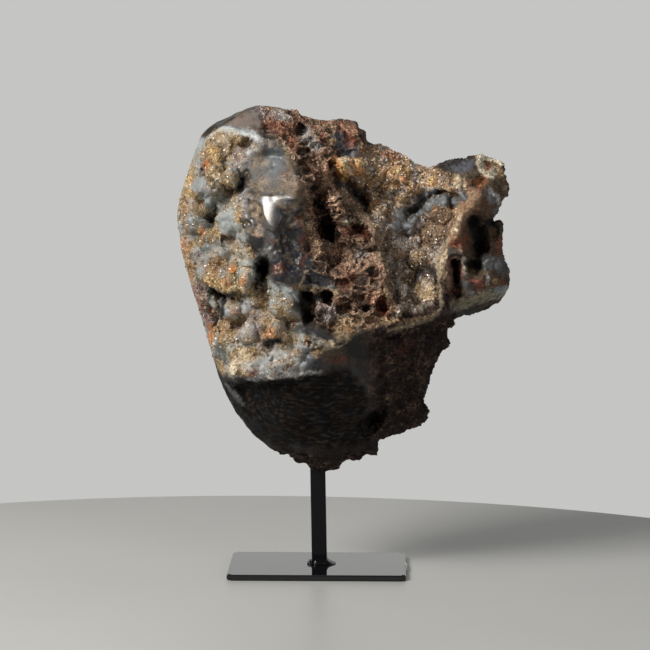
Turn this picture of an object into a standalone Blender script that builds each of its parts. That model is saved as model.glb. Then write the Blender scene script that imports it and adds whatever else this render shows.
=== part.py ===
"""A natural agate on a black stand. The stone is one piece: a druse face on its left, a polished
shoulder, a cleft, a boxwork ridge, a crystal-lined hollow on its right and a rounded back. A square
post, welded to a flat plate, goes up into a pocket under the stone."""

import math

import bmesh
import bpy
import numpy as np
from mathutils import Matrix, Vector, noise

MM = 0.001
GAP = 0.3 * MM

# The stand. The origin is the middle of the plate's underside.
PLATE_WIDTH = 116 * MM
PLATE_DEPTH = 76 * MM
PLATE_THICKNESS = 4 * MM
PLATE_CORNER = 2 * MM
PLATE_EDGE = 0.7 * MM
PAINT_RUN_LENGTH = 30 * MM
PAINT_RUN_RADIUS = 1.5 * MM
PAINT_RUN_SINK = 0.2 * MM
PAINT_RUN_HEIGHT = 2.1 * MM

POST_SIDE = 10 * MM
POST_CORNER = 1.2 * MM
POST_FOOT = (1.25 * MM, 0.8 * MM)
POST_TOP = 88 * MM
POST_LEAN = math.radians(-1.0)
WELD_HEIGHT = 3.6 * MM
WELD_SPREAD = 2.2 * MM
WELD_RUNOUT = 3.4 * MM
WELD_LEVELS = (0.0, 0.16, 0.36, 0.62, 1.0)
WELD_RIPPLE = 0.45
WELD_RIPPLE_SIZE = 2.2 * MM
CORNER_STEPS = 4
# Points between a bar's corners, as shares of the flat's half width.
FLAT_SHARES = (-0.6, 0.0, 0.6)

# The stone, seen from the front: x to the right and z up, in millimetres on the stand.
STONE_MIDDLE = (8, 185)
OUTLINE = (
    (-57, 298), (-40, 305), (-28, 305), (-17, 302), (-8, 299), (2, 297), (15, 296), (25, 295),
    (27, 291), (31, 289), (33, 283), (42, 279), (52, 274), (61, 269), (65, 266), (73, 265),
    (83, 269), (91, 271), (100, 272), (106, 274), (115, 272), (121, 269), (123, 260), (124, 251),
    (120, 244), (118, 238), (114, 231), (120, 230), (120, 221), (121, 212), (124, 200), (125, 190),
    (123, 182), (116, 176), (103, 170), (91, 166), (91, 162), (86, 160), (85, 156), (87, 149),
    (81, 144), (77, 134), (74, 125), (70, 116), (69, 112), (73, 105), (70, 97), (59, 93),
    (50, 89), (41, 86), (40, 76), (29, 76), (29, 73), (18, 72), (13, 66), (6, 65),
    (0, 64), (-5, 66), (-8, 70), (-14, 70), (-19, 77), (-26, 77), (-44, 92), (-56, 109),
    (-64, 126), (-72, 155), (-78, 175), (-87, 206), (-91, 231), (-90, 242), (-86, 257),
    (-76, 284), (-68, 293),
)

# Soundings of the front: x, z and how far the stone stands out there from its outline's plane.
DRUSE_FACE = (
    (-79, 273, 8), (-65, 277, 22), (-82, 251, 10), (-65, 258, 28), (-86, 228, 10), (-72, 232, 20),
    (-55, 235, 38), (-85, 209, 10), (-65, 214, 32), (-45, 216, 48), (-81, 191, 10), (-65, 194, 32),
    (-45, 196, 48), (-32, 177, 50), (-55, 174, 34), (-73, 169, 8), (-68, 153, 10), (-50, 158, 40),
    (-29, 160, 54), (-62, 135, 14), (-45, 141, 44), (-25, 141, 56),
)
CROWN = (
    (-66, 290, 12), (-46, 298, 22), (-26, 298, 26), (2, 294, 24), (23, 290, 20), (-48, 284, 32),
    (-29, 278, 44), (-10, 278, 40), (9, 276, 34), (37, 274, 14), (57, 267, 10),
)
SHOULDER = (
    (-45, 258, 42), (-28, 258, 52), (-11, 255, 54), (-41, 239, 52), (-28, 241, 58), (-10, 241, 54),
    (-25, 217, 56), (-10, 215, 50), (-19, 197, 57), (-13, 176, 54),
)
BOXWORK_RIDGE = (
    (9, 254, 40), (19, 237, 40), (34, 230, 30), (15, 216, 42), (36, 215, 34), (9, 196, 52),
    (29, 195, 48), (47, 189, 40), (12, 176, 54), (35, 176, 50), (52, 174, 42), (-3, 160, 60),
    (19, 164, 56), (44, 165, 46), (66, 167, 42), (81, 163, 20), (38, 222, 38), (42, 205, 40),
)
HOLLOW_FLOOR = (
    (31, 251, 8), (57, 254, 12), (73, 258, 12), (47, 231, 12), (73, 235, 8), (57, 213, 10),
    (72, 213, 12), (60, 187, 16), (72, 187, 18), (46, 221, 16), (52, 204, 16), (56, 190, 18),
    (28, 240, 10),
)
HORN = (
    (89, 267, 12), (110, 268, 18), (85, 259, 24), (103, 254, 32), (117, 255, 22), (92, 234, 32),
    (118, 225, 10), (89, 217, 32), (117, 209, 14), (81, 192, 36), (102, 189, 28), (119, 190, 16),
    (79, 176, 36), (94, 174, 18),
)
LOWER_BODY = (
    (-6, 137, 60), (16, 145, 54), (44, 148, 42), (67, 148, 30), (-51, 120, 20), (-32, 124, 44),
    (-13, 128, 56), (9, 127, 50), (35, 128, 40), (60, 126, 22), (-38, 103, 22), (-18, 106, 38),
    (6, 105, 38), (31, 105, 30), (59, 107, 16), (-19, 86, 17), (4, 86, 28), (25, 85, 20),
    (2, 73, 17),
)
FRONT = DRUSE_FACE + CROWN + SHOULDER + BOXWORK_RIDGE + HOLLOW_FLOOR + HORN + LOWER_BODY
# The same for the back, a rounded dome that thins towards the horn and the foot.
BACK = (
    (-60, 270, 26), (-70, 235, 34), (-72, 200, 34), (-62, 165, 30), (-52, 130, 24), (-35, 100, 20),
    (-40, 280, 32), (-45, 240, 48), (-45, 200, 52), (-35, 150, 46), (-15, 290, 28), (-5, 250, 52),
    (0, 200, 58), (5, 150, 50), (0, 110, 30), (5, 88, 22), (3, 73, 14), (30, 280, 22), (40, 240, 46),
    (45, 190, 50), (40, 140, 38), (35, 100, 20), (62, 245, 30), (75, 200, 32), (70, 150, 24),
    (90, 240, 22), (100, 200, 20), (110, 255, 14), (115, 220, 14), (118, 195, 12), (60, 115, 14),
)
SOUNDING_SOFTNESS = 6
LEAST_ROUNDING = 0.3
FRONT_TURN = 0.12
LEDGE_LIP = 1.5

# Forms of the front: a path of (x, z) points, its half width, and its depth. Depth is negative
# where the form stands out.
DRUSE_FORMS = (
    (((-76, 262), (-78, 235), (-76, 214)), 12, 6),
    (((-57, 240), (-58, 222), (-44, 224)), 13, -5),
    (((-48, 258), (-55, 252), (-63, 244), (-67, 235), (-68, 227)), 6, 14),
    (((-72, 263),), 5, 8),
    (((-60, 263),), 11, -8),
    (((-67, 274),), 7, -5),
    (((-72, 253),), 7, -6),
    (((-63, 248),), 6, -4),
    (((-77, 229),), 7, -4),
    (((-62, 209),), 8, -5),
    (((-72, 286), (-62, 290), (-52, 289), (-41, 289), (-34, 283)), 5, -3),
    (((-42, 283), (-51, 278), (-55, 271)), 4, 5),
    (((-54, 220),), 7, 8),
    (((-42, 206), (-43, 198)), 6, -5),
    (((-34, 204), (-36, 194)), 7, 16),
    (((-70, 197), (-56, 197), (-44, 194)), 9, -7),
    (((-65, 185), (-56, 184), (-45, 184)), 6, 14),
    (((-60, 181), (-62, 162)), 5, 14),
    (((-50, 166), (-40, 172)), 9, 5),
    (((-79, 186), (-73, 167), (-69, 152)), 5, -3),
    (((-53, 175),), 8, -6),
    (((-22, 177),), 9, -6),
    (((-27, 165),), 9, -7),
    (((-29, 156),), 6, 6),
    (((-46, 150),), 7, -6),
    (((-52, 141),), 7, -6),
)
LEDGE_FORMS = (
    (((-45, 138), (-16, 145), (6, 154)), 8, -4),
    (((-4, 158),), 6, -4),
    (((-56, 126), (-53, 116)), 5, -3),
)
SHOULDER_FORMS = (
    (((-43, 261),), 5, 5),
    (((-39, 243), (-37, 229)), 5, 3),
    (((-20, 239),), 5, 5),
    (((-24, 222),), 5, -2),
    (((-22, 202),), 5, -3),
    (((-16, 225), (-15, 208)), 6, 3),
)
CLEFT_FORMS = (
    (((0, 248), (3, 238), (7, 228)), 11, 26),
    (((9, 230), (14, 209)), 8, 16),
    (((14, 257), (20, 247)), 8, 14),
    (((-5, 268),), 6, 8),
    (((-10, 292),), 6, 8),
    (((18, 289), (18, 276)), 6, 5),
    (((-5, 194), (8, 193)), 7, 7),
    (((-5, 184), (-5, 173)), 5, 12),
    (((6, 185),), 5, 13),
)
BOXWORK_FORMS = (
    (((22, 227), (29, 226)), 6, 9),
    (((20, 240),), 5, 5),
    (((22, 235),), 5, 5),
    (((19, 216), (23, 216)), 5, 6),
    (((36, 199),), 5, 4),
    (((18, 180),), 6, 7),
    (((31, 179),), 5, 7),
    (((42, 180),), 6, 4),
    (((5, 261),), 5, 5),
    (((7, 251),), 5, 4),
    (((17, 194),), 5, 5),
    (((24, 201),), 5, 4),
    (((11, 249), (18, 245), (29, 236), (36, 227), (40, 219), (39, 210), (43, 201), (46, 189),
      (52, 173)), 5, -4),
)
HOLLOW_FORMS = (
    (((18, 267),), 7, -8),
    (((28, 266),), 6, -7),
    (((53, 259),), 7, -4),
    (((61, 253),), 6, -4),
    (((41, 237),), 6, -5),
    (((51, 227),), 7, -5),
    (((62, 228),), 7, -5),
    (((80, 245),), 6, -4),
    (((71, 237),), 7, -4),
    (((60, 237), (65, 239), (68, 245)), 4, 9),
    (((75, 247), (82, 249), (89, 247)), 4, 9),
    (((88, 243),), 5, 8),
    (((26, 248), (29, 239)), 7, 10),
    (((65, 208),), 8, -4),
    (((69, 186),), 9, -5),
    (((73, 197),), 6, 3),
)
HORN_FORMS = (
    (((103, 250), (98, 240), (90, 230), (84, 217), (79, 206), (78, 195), (81, 187), (79, 179),
      (74, 171), (57, 168), (35, 166), (19, 162), (13, 156)), 5, -4),
    (((105, 258),), 5, 6),
    (((110, 266),), 5, 3),
    (((101, 231), (103, 214)), 9, 20),
    (((112, 228),), 8, 11),
    (((111, 219),), 6, 5),
    (((89, 205), (89, 189)), 6, 14),
    (((101, 202),), 8, 12),
    (((98, 183), (118, 186)), 5, -4),
    (((87, 180),), 5, 6),
)
LOWER_FORMS = (
    (((35, 102),), 8, 12),
    (((69, 107),), 7, -3),
    (((59, 150), (54, 116)), 7, 3),
    (((67, 134),), 7, -3),
    (((47, 117),), 7, -3),
)
FORMS = (
    DRUSE_FORMS + LEDGE_FORMS + SHOULDER_FORMS + CLEFT_FORMS + BOXWORK_FORMS + HOLLOW_FORMS
    + HORN_FORMS + LOWER_FORMS
)

# Ledges: a path of (x, z) points from left to right, how far down the front falls back below it,
# and how deep.
LEDGES = (
    (((-57, 122), (-48, 128), (-34, 131), (-9, 135), (13, 137)), 26, 11),
    (((8, 150), (19, 156), (31, 162), (54, 165), (79, 170), (88, 180)), 22, 11),
)
# Unevenness of each area: the distance between its swells, and their height.
DRUSE_SWELLS = ((16, 7.0), (8, 4.5))
ROUGH_SWELLS = ((18, 5.0), (8, 2.4))
BODY_SWELLS = ((22, 2.0), (9, 0.5))

# Where each kind of surface lies, as outlines in the same view.
BOXWORK_AREA = (
    (-35, 303), (-11, 300), (21, 295), (31, 287), (35, 277), (15, 273), (13, 252), (20, 244),
    (32, 235), (41, 218), (46, 192), (53, 171), (20, 163), (-2, 168), (-8, 189), (-2, 208),
    (-8, 237), (-6, 256), (-16, 272), (-23, 283), (-34, 292),
)
DRUSE_AREA = (
    (-82, 265), (-74, 285), (-40, 286), (-40, 270), (-50, 255), (-44, 225), (-32, 200), (-12, 190),
    (-8, 165), (10, 155), (-10, 138), (-52, 132), (-66, 160), (-78, 190), (-84, 225),
)
HOLLOW_AREA = (
    (14, 270), (34, 274), (53, 265), (79, 262), (92, 252), (95, 247), (88, 236), (82, 220),
    (77, 206), (75, 188), (75, 179), (66, 175), (54, 174), (50, 188), (46, 206), (43, 220),
    (35, 235), (24, 243), (16, 251),
)
AREA_EDGE = 6
ROUGH_RIGHT = 30
LOWER_TOP = 134
AREA_FADE = 12
CELL_SIZE = 9
CELL_DEPTH = 3.2
CELL_WALL = 0.22
CELL_SHARE_RIGHT = 0.6
LUMP_SIZE = 8
LUMP_HEIGHT = 4.5
LUMP_SHIFT = 31
SWELL_SEEDS = (1, 2, 3)

BALL_SUBDIVISIONS = 7
FORM_VOXEL = 2.2 * MM
STONE_TRIANGLES = 7400
BACK_FACING = 0.1
FINE_EASE = 0.3
HIDDEN_EASE = 0.55
CRUST_GAP = 1.25 * GAP
CRUST_FACING = -0.15
CRUST_THICKNESS = 1.6 * MM
CRYSTAL_LOW = 0.8 * MM
CRYSTAL_HIGH = 2.4 * MM
CRYSTAL_SEED = 11
SHARP_ANGLE = math.radians(40)

# Colour and roughness of each finish.
PLATE_PAINT = ((0.012, 0.012, 0.013), 0.12)
POST_PAINT = ((0.012, 0.012, 0.013), 0.15)
STONE_FINISH = ((0.22, 0.19, 0.17), 0.45)
DRUSE_FINISH = ((0.36, 0.29, 0.21), 0.25)


def clear_scene():
    for obj in list(bpy.data.objects):
        bpy.data.objects.remove(obj, do_unlink=True)


def plain_material(name, finish):
    colour, roughness = finish
    material = bpy.data.materials.new(name)
    material.use_nodes = True
    shader = material.node_tree.nodes["Principled BSDF"]
    shader.inputs["Base Color"].default_value = (*colour, 1.0)
    shader.inputs["Roughness"].default_value = roughness
    material.diffuse_color = (*colour, 1.0)
    return material


def add_object(name, mesh, material=None):
    obj = bpy.data.objects.new(name, mesh)
    bpy.context.scene.collection.objects.link(obj)
    if material:
        mesh.materials.append(material)
        mesh.shade_smooth()
        mesh.set_sharp_from_angle(angle=SHARP_ANGLE)
    return obj


def add_cutter(name, mesh):
    cutter = add_object(name, mesh)
    cutter.hide_render = True
    cutter.display_type = "WIRE"
    return cutter


def mesh_from(name, points, faces):
    mesh = bpy.data.meshes.new(name)
    mesh.from_pydata([tuple(point) for point in points], [], faces)
    return mesh


def points_of(mesh):
    points = np.empty(len(mesh.vertices) * 3, np.float32)
    mesh.vertices.foreach_get("co", points)
    return points.reshape(-1, 3).astype(np.float64)


def normals_of(mesh):
    normals = np.empty(len(mesh.vertices) * 3, np.float32)
    mesh.vertices.foreach_get("normal", normals)
    return normals.reshape(-1, 3).astype(np.float64)


def set_points(mesh, points):
    mesh.vertices.foreach_set("co", points.astype(np.float32).ravel())
    mesh.update()


def shaped_mesh(obj):
    """The object's mesh with its modifiers worked in."""
    graph = bpy.context.evaluated_depsgraph_get()
    return bpy.data.meshes.new_from_object(obj.evaluated_get(graph), depsgraph=graph)


def rounded_square(half, corner):
    """Points round a square bar, with the way outwards at each."""
    points = []
    for quarter in range(4):
        middle = math.radians(45 + 90 * quarter)
        centre = Vector((math.copysign(half - corner, math.cos(middle)),
                         math.copysign(half - corner, math.sin(middle))))
        for step in range(CORNER_STEPS + 1):
            angle = math.radians(90 * quarter + 90 * step / CORNER_STEPS)
            outwards = Vector((math.cos(angle), math.sin(angle)))
            points.append((centre + corner * outwards, outwards))
        angle = math.radians(90 * (quarter + 1))
        outwards = Vector((math.cos(angle), math.sin(angle)))
        along = Vector((-outwards.y, outwards.x))
        for share in FLAT_SHARES:
            points.append((half * outwards + share * (half - corner) * along, outwards))
    return points


def make_plate():
    """The flat plate, with its paint run along the right edge fused to it."""
    bm = bmesh.new()
    size = Matrix.Diagonal((PLATE_WIDTH, PLATE_DEPTH, PLATE_THICKNESS, 1))
    bmesh.ops.create_cube(bm, size=1, matrix=Matrix.Translation((0, 0, PLATE_THICKNESS / 2)) @ size)
    upright = [edge for edge in bm.edges if abs(edge.verts[0].co.z - edge.verts[1].co.z) > GAP]
    bmesh.ops.bevel(bm, geom=upright, offset=PLATE_CORNER, segments=4, affect="EDGES")
    rim = [edge for edge in bm.edges if edge.calc_face_angle(0) > SHARP_ANGLE]
    bmesh.ops.bevel(bm, geom=rim, offset=PLATE_EDGE, segments=2, affect="EDGES")
    mesh = bpy.data.meshes.new("base_plate")
    bm.to_mesh(mesh)
    bm.free()
    plate = add_object("base_plate", mesh, plain_material("black_paint", PLATE_PAINT))

    bm = bmesh.new()
    bmesh.ops.create_uvsphere(bm, u_segments=12, v_segments=8, radius=PAINT_RUN_RADIUS)
    stretch = Matrix.Diagonal((1, PAINT_RUN_LENGTH / (2 * PAINT_RUN_RADIUS), 1, 1))
    bmesh.ops.transform(bm, matrix=stretch, verts=bm.verts)
    mesh = bpy.data.meshes.new("paint_run")
    bm.to_mesh(mesh)
    bm.free()
    run = add_cutter("paint_run", mesh)
    run.location = (PLATE_WIDTH / 2 - PAINT_RUN_SINK, 0, PAINT_RUN_HEIGHT)
    union = plate.modifiers.new("paint_run", "BOOLEAN")
    union.operation = "UNION"
    union.object = run
    return plate


def post_points(height):
    """The middle of the leaning post at a height above the floor."""
    shift = math.tan(POST_LEAN) * (height - PLATE_THICKNESS)
    return Vector((POST_FOOT[0] + shift, POST_FOOT[1], height))


def make_post():
    """The square bar, lofted from its weld at the plate to its end inside the stone."""
    foot = PLATE_THICKNESS + GAP
    outline = rounded_square(POST_SIDE / 2, POST_CORNER)
    points = []
    for level in WELD_LEVELS:
        height = foot + level * WELD_HEIGHT
        fillet = (1 - level) ** 2
        for place, outwards in outline:
            runout = WELD_RUNOUT * max(outwards.x, 0) ** 2
            ripple = noise.noise(Vector((place.x, place.y, level * MM)) / WELD_RIPPLE_SIZE)
            spread = fillet * (WELD_SPREAD * (1 + WELD_RIPPLE * ripple) + runout)
            middle = post_points(height)
            points.append((middle.x + place.x + outwards.x * spread,
                           middle.y + place.y + outwards.y * spread, height))
    top = post_points(POST_TOP)
    points += [(top.x + place.x, top.y + place.y, POST_TOP) for place, _ in outline]
    count = len(outline)
    faces = [tuple(reversed(range(count)))]
    for ring in range(len(WELD_LEVELS)):
        for index in range(count):
            following = (index + 1) % count
            low, high = ring * count, (ring + 1) * count
            faces.append((low + index, low + following, high + following, high + index))
    faces.append(tuple(range(len(points) - count, len(points))))
    mesh = mesh_from("post", points, faces)
    return add_object("post", mesh, plain_material("black_paint_bar", POST_PAINT))


def smooth_loop(corners, steps=8):
    """A closed curve through the corners, as points (Catmull and Rom's curve)."""
    middle = np.array(corners, float)
    before, after = np.roll(middle, 1, 0), np.roll(middle, -1, 0)
    second = np.roll(middle, -2, 0)
    share = (np.arange(steps) / steps)[None, :, None]
    before, middle, after, second = (part[:, None] for part in (before, middle, after, second))
    curve = 0.5 * (
        2 * middle
        + (after - before) * share
        + (2 * before - 5 * middle + 4 * after - second) * share**2
        + (3 * middle - before - 3 * after + second) * share**3
    )
    return curve.reshape(-1, 2)


def outline_reach(angles):
    """How far the outline is from the stone's middle in each direction."""
    loop = smooth_loop(OUTLINE) - STONE_MIDDLE
    turns = np.arctan2(loop[:, 1], loop[:, 0])
    order = np.argsort(turns)
    return np.interp(angles, turns[order], np.hypot(*loop[order].T), period=2 * math.pi)


def share_of_reach(places):
    """0 at the stone's middle and 1 on its outline."""
    apart = places - STONE_MIDDLE
    reach = outline_reach(np.arctan2(apart[:, 1], apart[:, 0]))
    return np.hypot(*apart.T) / reach


def rounding(share):
    """How the depth falls away to nothing at the outline."""
    return np.sqrt(np.clip(1 - share**4, 0, 1))


def depth_surface(soundings):
    """A function that gives the depth at any place, smoothly through the soundings."""
    table = np.array(soundings, float)
    places = table[:, :2]
    full = table[:, 2] / np.maximum(rounding(share_of_reach(places)), LEAST_ROUNDING)
    count = len(places)
    system = np.zeros((count + 3, count + 3))
    apart = places[:, None] - places[None]
    system[:count, :count] = np.sqrt((apart**2).sum(-1) + SOUNDING_SOFTNESS**2)
    system[:count, count] = system[count, :count] = 1
    system[:count, count + 1:] = places
    system[count + 1:, :count] = places.T
    weights = np.linalg.solve(system, np.append(full, (0, 0, 0)))

    def depth_at(where):
        apart = where[:, None] - places[None]
        pull = np.sqrt((apart**2).sum(-1) + SOUNDING_SOFTNESS**2)
        level = pull @ weights[:count] + weights[count] + where @ weights[count + 1:]
        return level * rounding(np.minimum(share_of_reach(where), 1))

    return depth_at


def distance_to_path(places, path):
    """Distance of each place from a path of points."""
    corners = np.array(path, float)
    if len(corners) == 1:
        return np.hypot(*(places - corners[0]).T)
    nearest = np.full(len(places), np.inf)
    for start, end in zip(corners[:-1], corners[1:]):
        along = end - start
        share = np.clip((places - start) @ along / (along @ along), 0, 1)
        nearest = np.minimum(nearest, np.hypot(*(places - start - share[:, None] * along).T))
    return nearest


def below_path(places, path, fall):
    """1 just below a path, fading to 0 further down and towards the path's two ends."""
    corners = np.array(path, float)
    lengths = np.hypot(*np.diff(corners, axis=0).T)
    starts = np.append(0, np.cumsum(lengths)) / lengths.sum()
    nearest = np.full(len(places), np.inf)
    amount = np.zeros(len(places))
    for index, (start, end) in enumerate(zip(corners[:-1], corners[1:])):
        along = end - start
        apart = places - start
        share = np.clip(apart @ along / (along @ along), 0, 1)
        distance = np.hypot(*(apart - share[:, None] * along).T)
        below = apart[:, 1] * along[0] < apart[:, 0] * along[1]
        travelled = starts[index] + share * (starts[index + 1] - starts[index])
        ends = np.sqrt(np.sin(math.pi * travelled).clip(0))
        here = below * np.clip(distance / LEDGE_LIP, 0, 1) * np.clip(1 - distance / fall, 0, 1)
        closer = distance < nearest
        amount = np.where(closer, here * ends, amount)
        nearest = np.minimum(nearest, distance)
    return amount


def swells(points, table, seed):
    """Smooth random unevenness at each point, from a table of distances and heights."""
    total = np.zeros(len(points))
    for spacing, height in table:
        shift = Vector((seed, 2 * seed, 3 * seed))
        total += [height * noise.noise(Vector(point) / spacing + shift) for point in points]
    return total


def inside_area(places, area, soft):
    """1 inside an outline and 0 outside, with a soft edge."""
    corners = np.array(area, float)
    crossings = np.zeros(len(places), int)
    for (ax, ay), (bx, by) in zip(corners, np.roll(corners, -1, 0)):
        if ay == by:
            continue
        level = (ay > places[:, 1]) != (by > places[:, 1])
        cross = ax + (places[:, 1] - ay) * (bx - ax) / (by - ay)
        crossings += level & (places[:, 0] < cross)
    distance = distance_to_path(places, (*area, area[0]))
    signed = np.where(crossings % 2 == 1, distance, -distance)
    return np.clip(0.5 + signed / soft, 0, 1)


def carry_to_stone(ball):
    """Moves points of a unit ball onto the stone's form, in millimetres."""
    share = np.hypot(ball[:, 0], ball[:, 2])
    angles = np.arctan2(ball[:, 2], ball[:, 0])
    reach = outline_reach(angles) * share
    places = np.stack([np.cos(angles), np.sin(angles)], 1) * reach[:, None] + STONE_MIDDLE
    front, back = depth_surface(FRONT)(places), depth_surface(BACK)(places)
    facing = np.clip(0.5 - ball[:, 1] / FRONT_TURN, 0, 1)
    depth = np.where(ball[:, 1] < 0, -front, back)
    for path, width, push in FORMS:
        near = np.clip(1 - (distance_to_path(places, path) / width) ** 2, 0, 1)
        depth = depth + facing * push * near
    for path, fall, push in LEDGES:
        depth = depth + facing * push * below_path(places, path, fall)
    return np.stack([places[:, 0], depth, places[:, 1]], 1)


def cells(points, size):
    """Two distances at each point, to the nearest and second nearest seed of a random pattern."""
    found = [noise.voronoi(Vector(point) / size)[0][:2] for point in points]
    return np.array(found).T


def roughen(mesh):
    """Cells in the boxwork and the rough right side, and lumps on the druse, in the mesh."""
    points, normals = points_of(mesh) / MM, normals_of(mesh)
    places = points[:, (0, 2)]
    facing = np.clip(0.5 - normals[:, 1] * 2, 0, 1)
    boxwork = inside_area(places, BOXWORK_AREA, AREA_EDGE) * facing
    druse = inside_area(places, DRUSE_AREA, AREA_EDGE) * facing
    hollow = inside_area(places, HOLLOW_AREA, AREA_EDGE) * facing
    right = np.clip((places[:, 0] - ROUGH_RIGHT) / AREA_FADE, 0, 1) * (1 - hollow) * (1 - boxwork)
    low = np.clip((LOWER_TOP - places[:, 1]) / AREA_FADE, 0, 1) * facing * (1 - right) * (1 - druse)
    near, second = cells(points, CELL_SIZE)
    wall = np.clip((second - near) / CELL_WALL, 0, 1)
    pits = CELL_DEPTH * wall * np.maximum(boxwork, CELL_SHARE_RIGHT * right)
    near, _ = cells(points + LUMP_SHIFT, LUMP_SIZE)
    raised = LUMP_HEIGHT * (0.5 - near) * druse - pits
    druse_seed, rough_seed, body_seed = SWELL_SEEDS
    raised += swells(points, DRUSE_SWELLS, druse_seed) * druse
    raised += swells(points, ROUGH_SWELLS, rough_seed) * np.maximum(boxwork, right)
    raised += swells(points, BODY_SWELLS, body_seed) * low
    set_points(mesh, (points + normals * raised[:, None]) * MM)


def thinned_mesh(mesh, triangles):
    """The mesh brought down to a number of triangles, the front kept finer than the back."""
    obj = bpy.data.objects.new("thinning", mesh)
    bpy.context.scene.collection.objects.link(obj)
    ease = obj.vertex_groups.new(name="ease")
    places = points_of(mesh)[:, (0, 2)] / MM
    plain = (normals_of(mesh)[:, 1] > BACK_FACING) & (places[:, 0] < ROUGH_RIGHT)
    hidden = ~plain & (inside_area(places, HOLLOW_AREA, 1) > 0.5)
    for chosen, weight in ((plain, 1.0), (hidden, HIDDEN_EASE), (~plain & ~hidden, FINE_EASE)):
        ease.add(np.flatnonzero(chosen).tolist(), weight, "REPLACE")
    thin = obj.modifiers.new("thin", "DECIMATE")
    mesh.calc_loop_triangles()
    thin.ratio = triangles / len(mesh.loop_triangles)
    thin.vertex_group = ease.name
    thin.vertex_group_factor = 1.0
    thin.use_collapse_triangulate = True
    result = shaped_mesh(obj)
    bpy.data.objects.remove(obj, do_unlink=True)
    return result


def make_pocket():
    """The hole for the post, cut from below the stone to just past the post's end."""
    reach = POST_SIDE / 2 + GAP
    low, high = post_points(PLATE_THICKNESS + 2 * WELD_HEIGHT), post_points(POST_TOP + GAP)
    points = []
    for level in (low, high):
        for place, _ in rounded_square(reach, POST_CORNER):
            points.append((level.x + place.x, level.y + place.y, level.z))
    count = len(points) // 2
    faces = [tuple(reversed(range(count))), tuple(range(count, 2 * count))]
    for index in range(count):
        following = (index + 1) % count
        faces.append((index, following, count + following, count + index))
    return add_cutter("post_pocket", mesh_from("post_pocket", points, faces))


def make_agate():
    """The stone, from a ball carried onto its form, made even, roughened and thinned."""
    bm = bmesh.new()
    bmesh.ops.create_icosphere(bm, subdivisions=BALL_SUBDIVISIONS, radius=1)
    mesh = bpy.data.meshes.new("agate_form")
    bm.to_mesh(mesh)
    bm.free()
    set_points(mesh, carry_to_stone(points_of(mesh)) * MM)
    form = bpy.data.objects.new("agate_form", mesh)
    bpy.context.scene.collection.objects.link(form)
    even = form.modifiers.new("even", "REMESH")
    even.mode = "VOXEL"
    even.voxel_size = FORM_VOXEL
    mesh = shaped_mesh(form)
    bpy.data.objects.remove(form, do_unlink=True)
    roughen(mesh)
    mesh = thinned_mesh(mesh, STONE_TRIANGLES)
    mesh.name = "agate"
    agate = add_object("agate", mesh, plain_material("agate_stone", STONE_FINISH))
    cut = agate.modifiers.new("post_pocket", "BOOLEAN")
    cut.operation = "DIFFERENCE"
    cut.object = make_pocket()
    return agate


def make_crust(agate):
    """The crystals that line the hollow, one crust over the stone's own facets there."""
    mesh = shaped_mesh(agate)
    bm = bmesh.new()
    bm.from_mesh(mesh)
    bm.normal_update()
    centres = np.array([face.calc_center_median() for face in bm.faces])
    facing = np.array([face.normal.y for face in bm.faces])
    inside = inside_area(centres[:, (0, 2)] / MM, HOLLOW_AREA, 1) > 0.5
    kept = np.flatnonzero(inside & (facing < CRUST_FACING)).tolist()
    normals = {vert: vert.normal.copy() for vert in bm.verts}
    bm.faces.ensure_lookup_table()
    patch = largest_patch([bm.faces[index] for index in kept])
    crust = bmesh.new()
    under, over = {}, {}
    for vert in sorted({vert for face in patch for vert in face.verts}, key=lambda v: v.index):
        under[vert] = crust.verts.new(vert.co + normals[vert] * CRUST_GAP)
        over[vert] = crust.verts.new(vert.co + normals[vert] * (CRUST_GAP + CRUST_THICKNESS))
    rng = np.random.default_rng(CRYSTAL_SEED)
    members = set(patch)
    for face in patch:
        corners = list(face.verts)
        crust.faces.new([under[vert] for vert in reversed(corners)])
        height = rng.uniform(CRYSTAL_LOW, CRYSTAL_HIGH)
        middle = sum((over[vert].co for vert in corners), Vector()) / 3
        tip = crust.verts.new(middle + face.normal * height)
        for index in range(3):
            crust.faces.new((over[corners[index]], over[corners[(index + 1) % 3]], tip))
        for loop in face.loops:
            start, end = loop.vert, loop.link_loop_next.vert
            if sum(other in members for other in loop.edge.link_faces) == 1:
                crust.faces.new((under[start], under[end], over[end], over[start]))
    result = bpy.data.meshes.new("druse_crust")
    crust.to_mesh(result)
    crust.free()
    bm.free()
    return add_object("druse_crust", result, plain_material("druse", DRUSE_FINISH))


def largest_patch(faces):
    """The largest set of these faces that hang together, with no two meeting at a lone corner."""
    members, groups = set(faces), []
    while members:
        group, queue = [], [min(members, key=lambda face: face.index)]
        members.discard(queue[0])
        while queue:
            face = queue.pop()
            group.append(face)
            for edge in face.edges:
                for other in edge.link_faces:
                    if other in members:
                        members.discard(other)
                        queue.append(other)
        groups.append(group)
    patch = set(max(groups, key=len))
    changed = True
    while changed:
        changed = False
        for vert in sorted({vert for face in patch for vert in face.verts}, key=lambda v: v.index):
            rim = [edge for edge in vert.link_edges if sum(f in patch for f in edge.link_faces) == 1]
            if len(rim) > 2:
                patch -= set(vert.link_faces)
                changed = True
    return sorted(patch, key=lambda face: face.index)


def main():
    clear_scene()
    make_plate()
    make_post()
    agate = make_agate()
    make_crust(agate)


main()
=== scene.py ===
"""The looks of an agate on its stand: the carved stone with its markings, the crystals on its
druse face and in its hollow, the painted stand with its weld, and a plain studio round them."""

import math

import bmesh
import bpy
import numpy as np
from bpy.props import FloatProperty, FloatVectorProperty, IntProperty, PointerProperty
from mathutils import Matrix, Vector, noise


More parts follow.
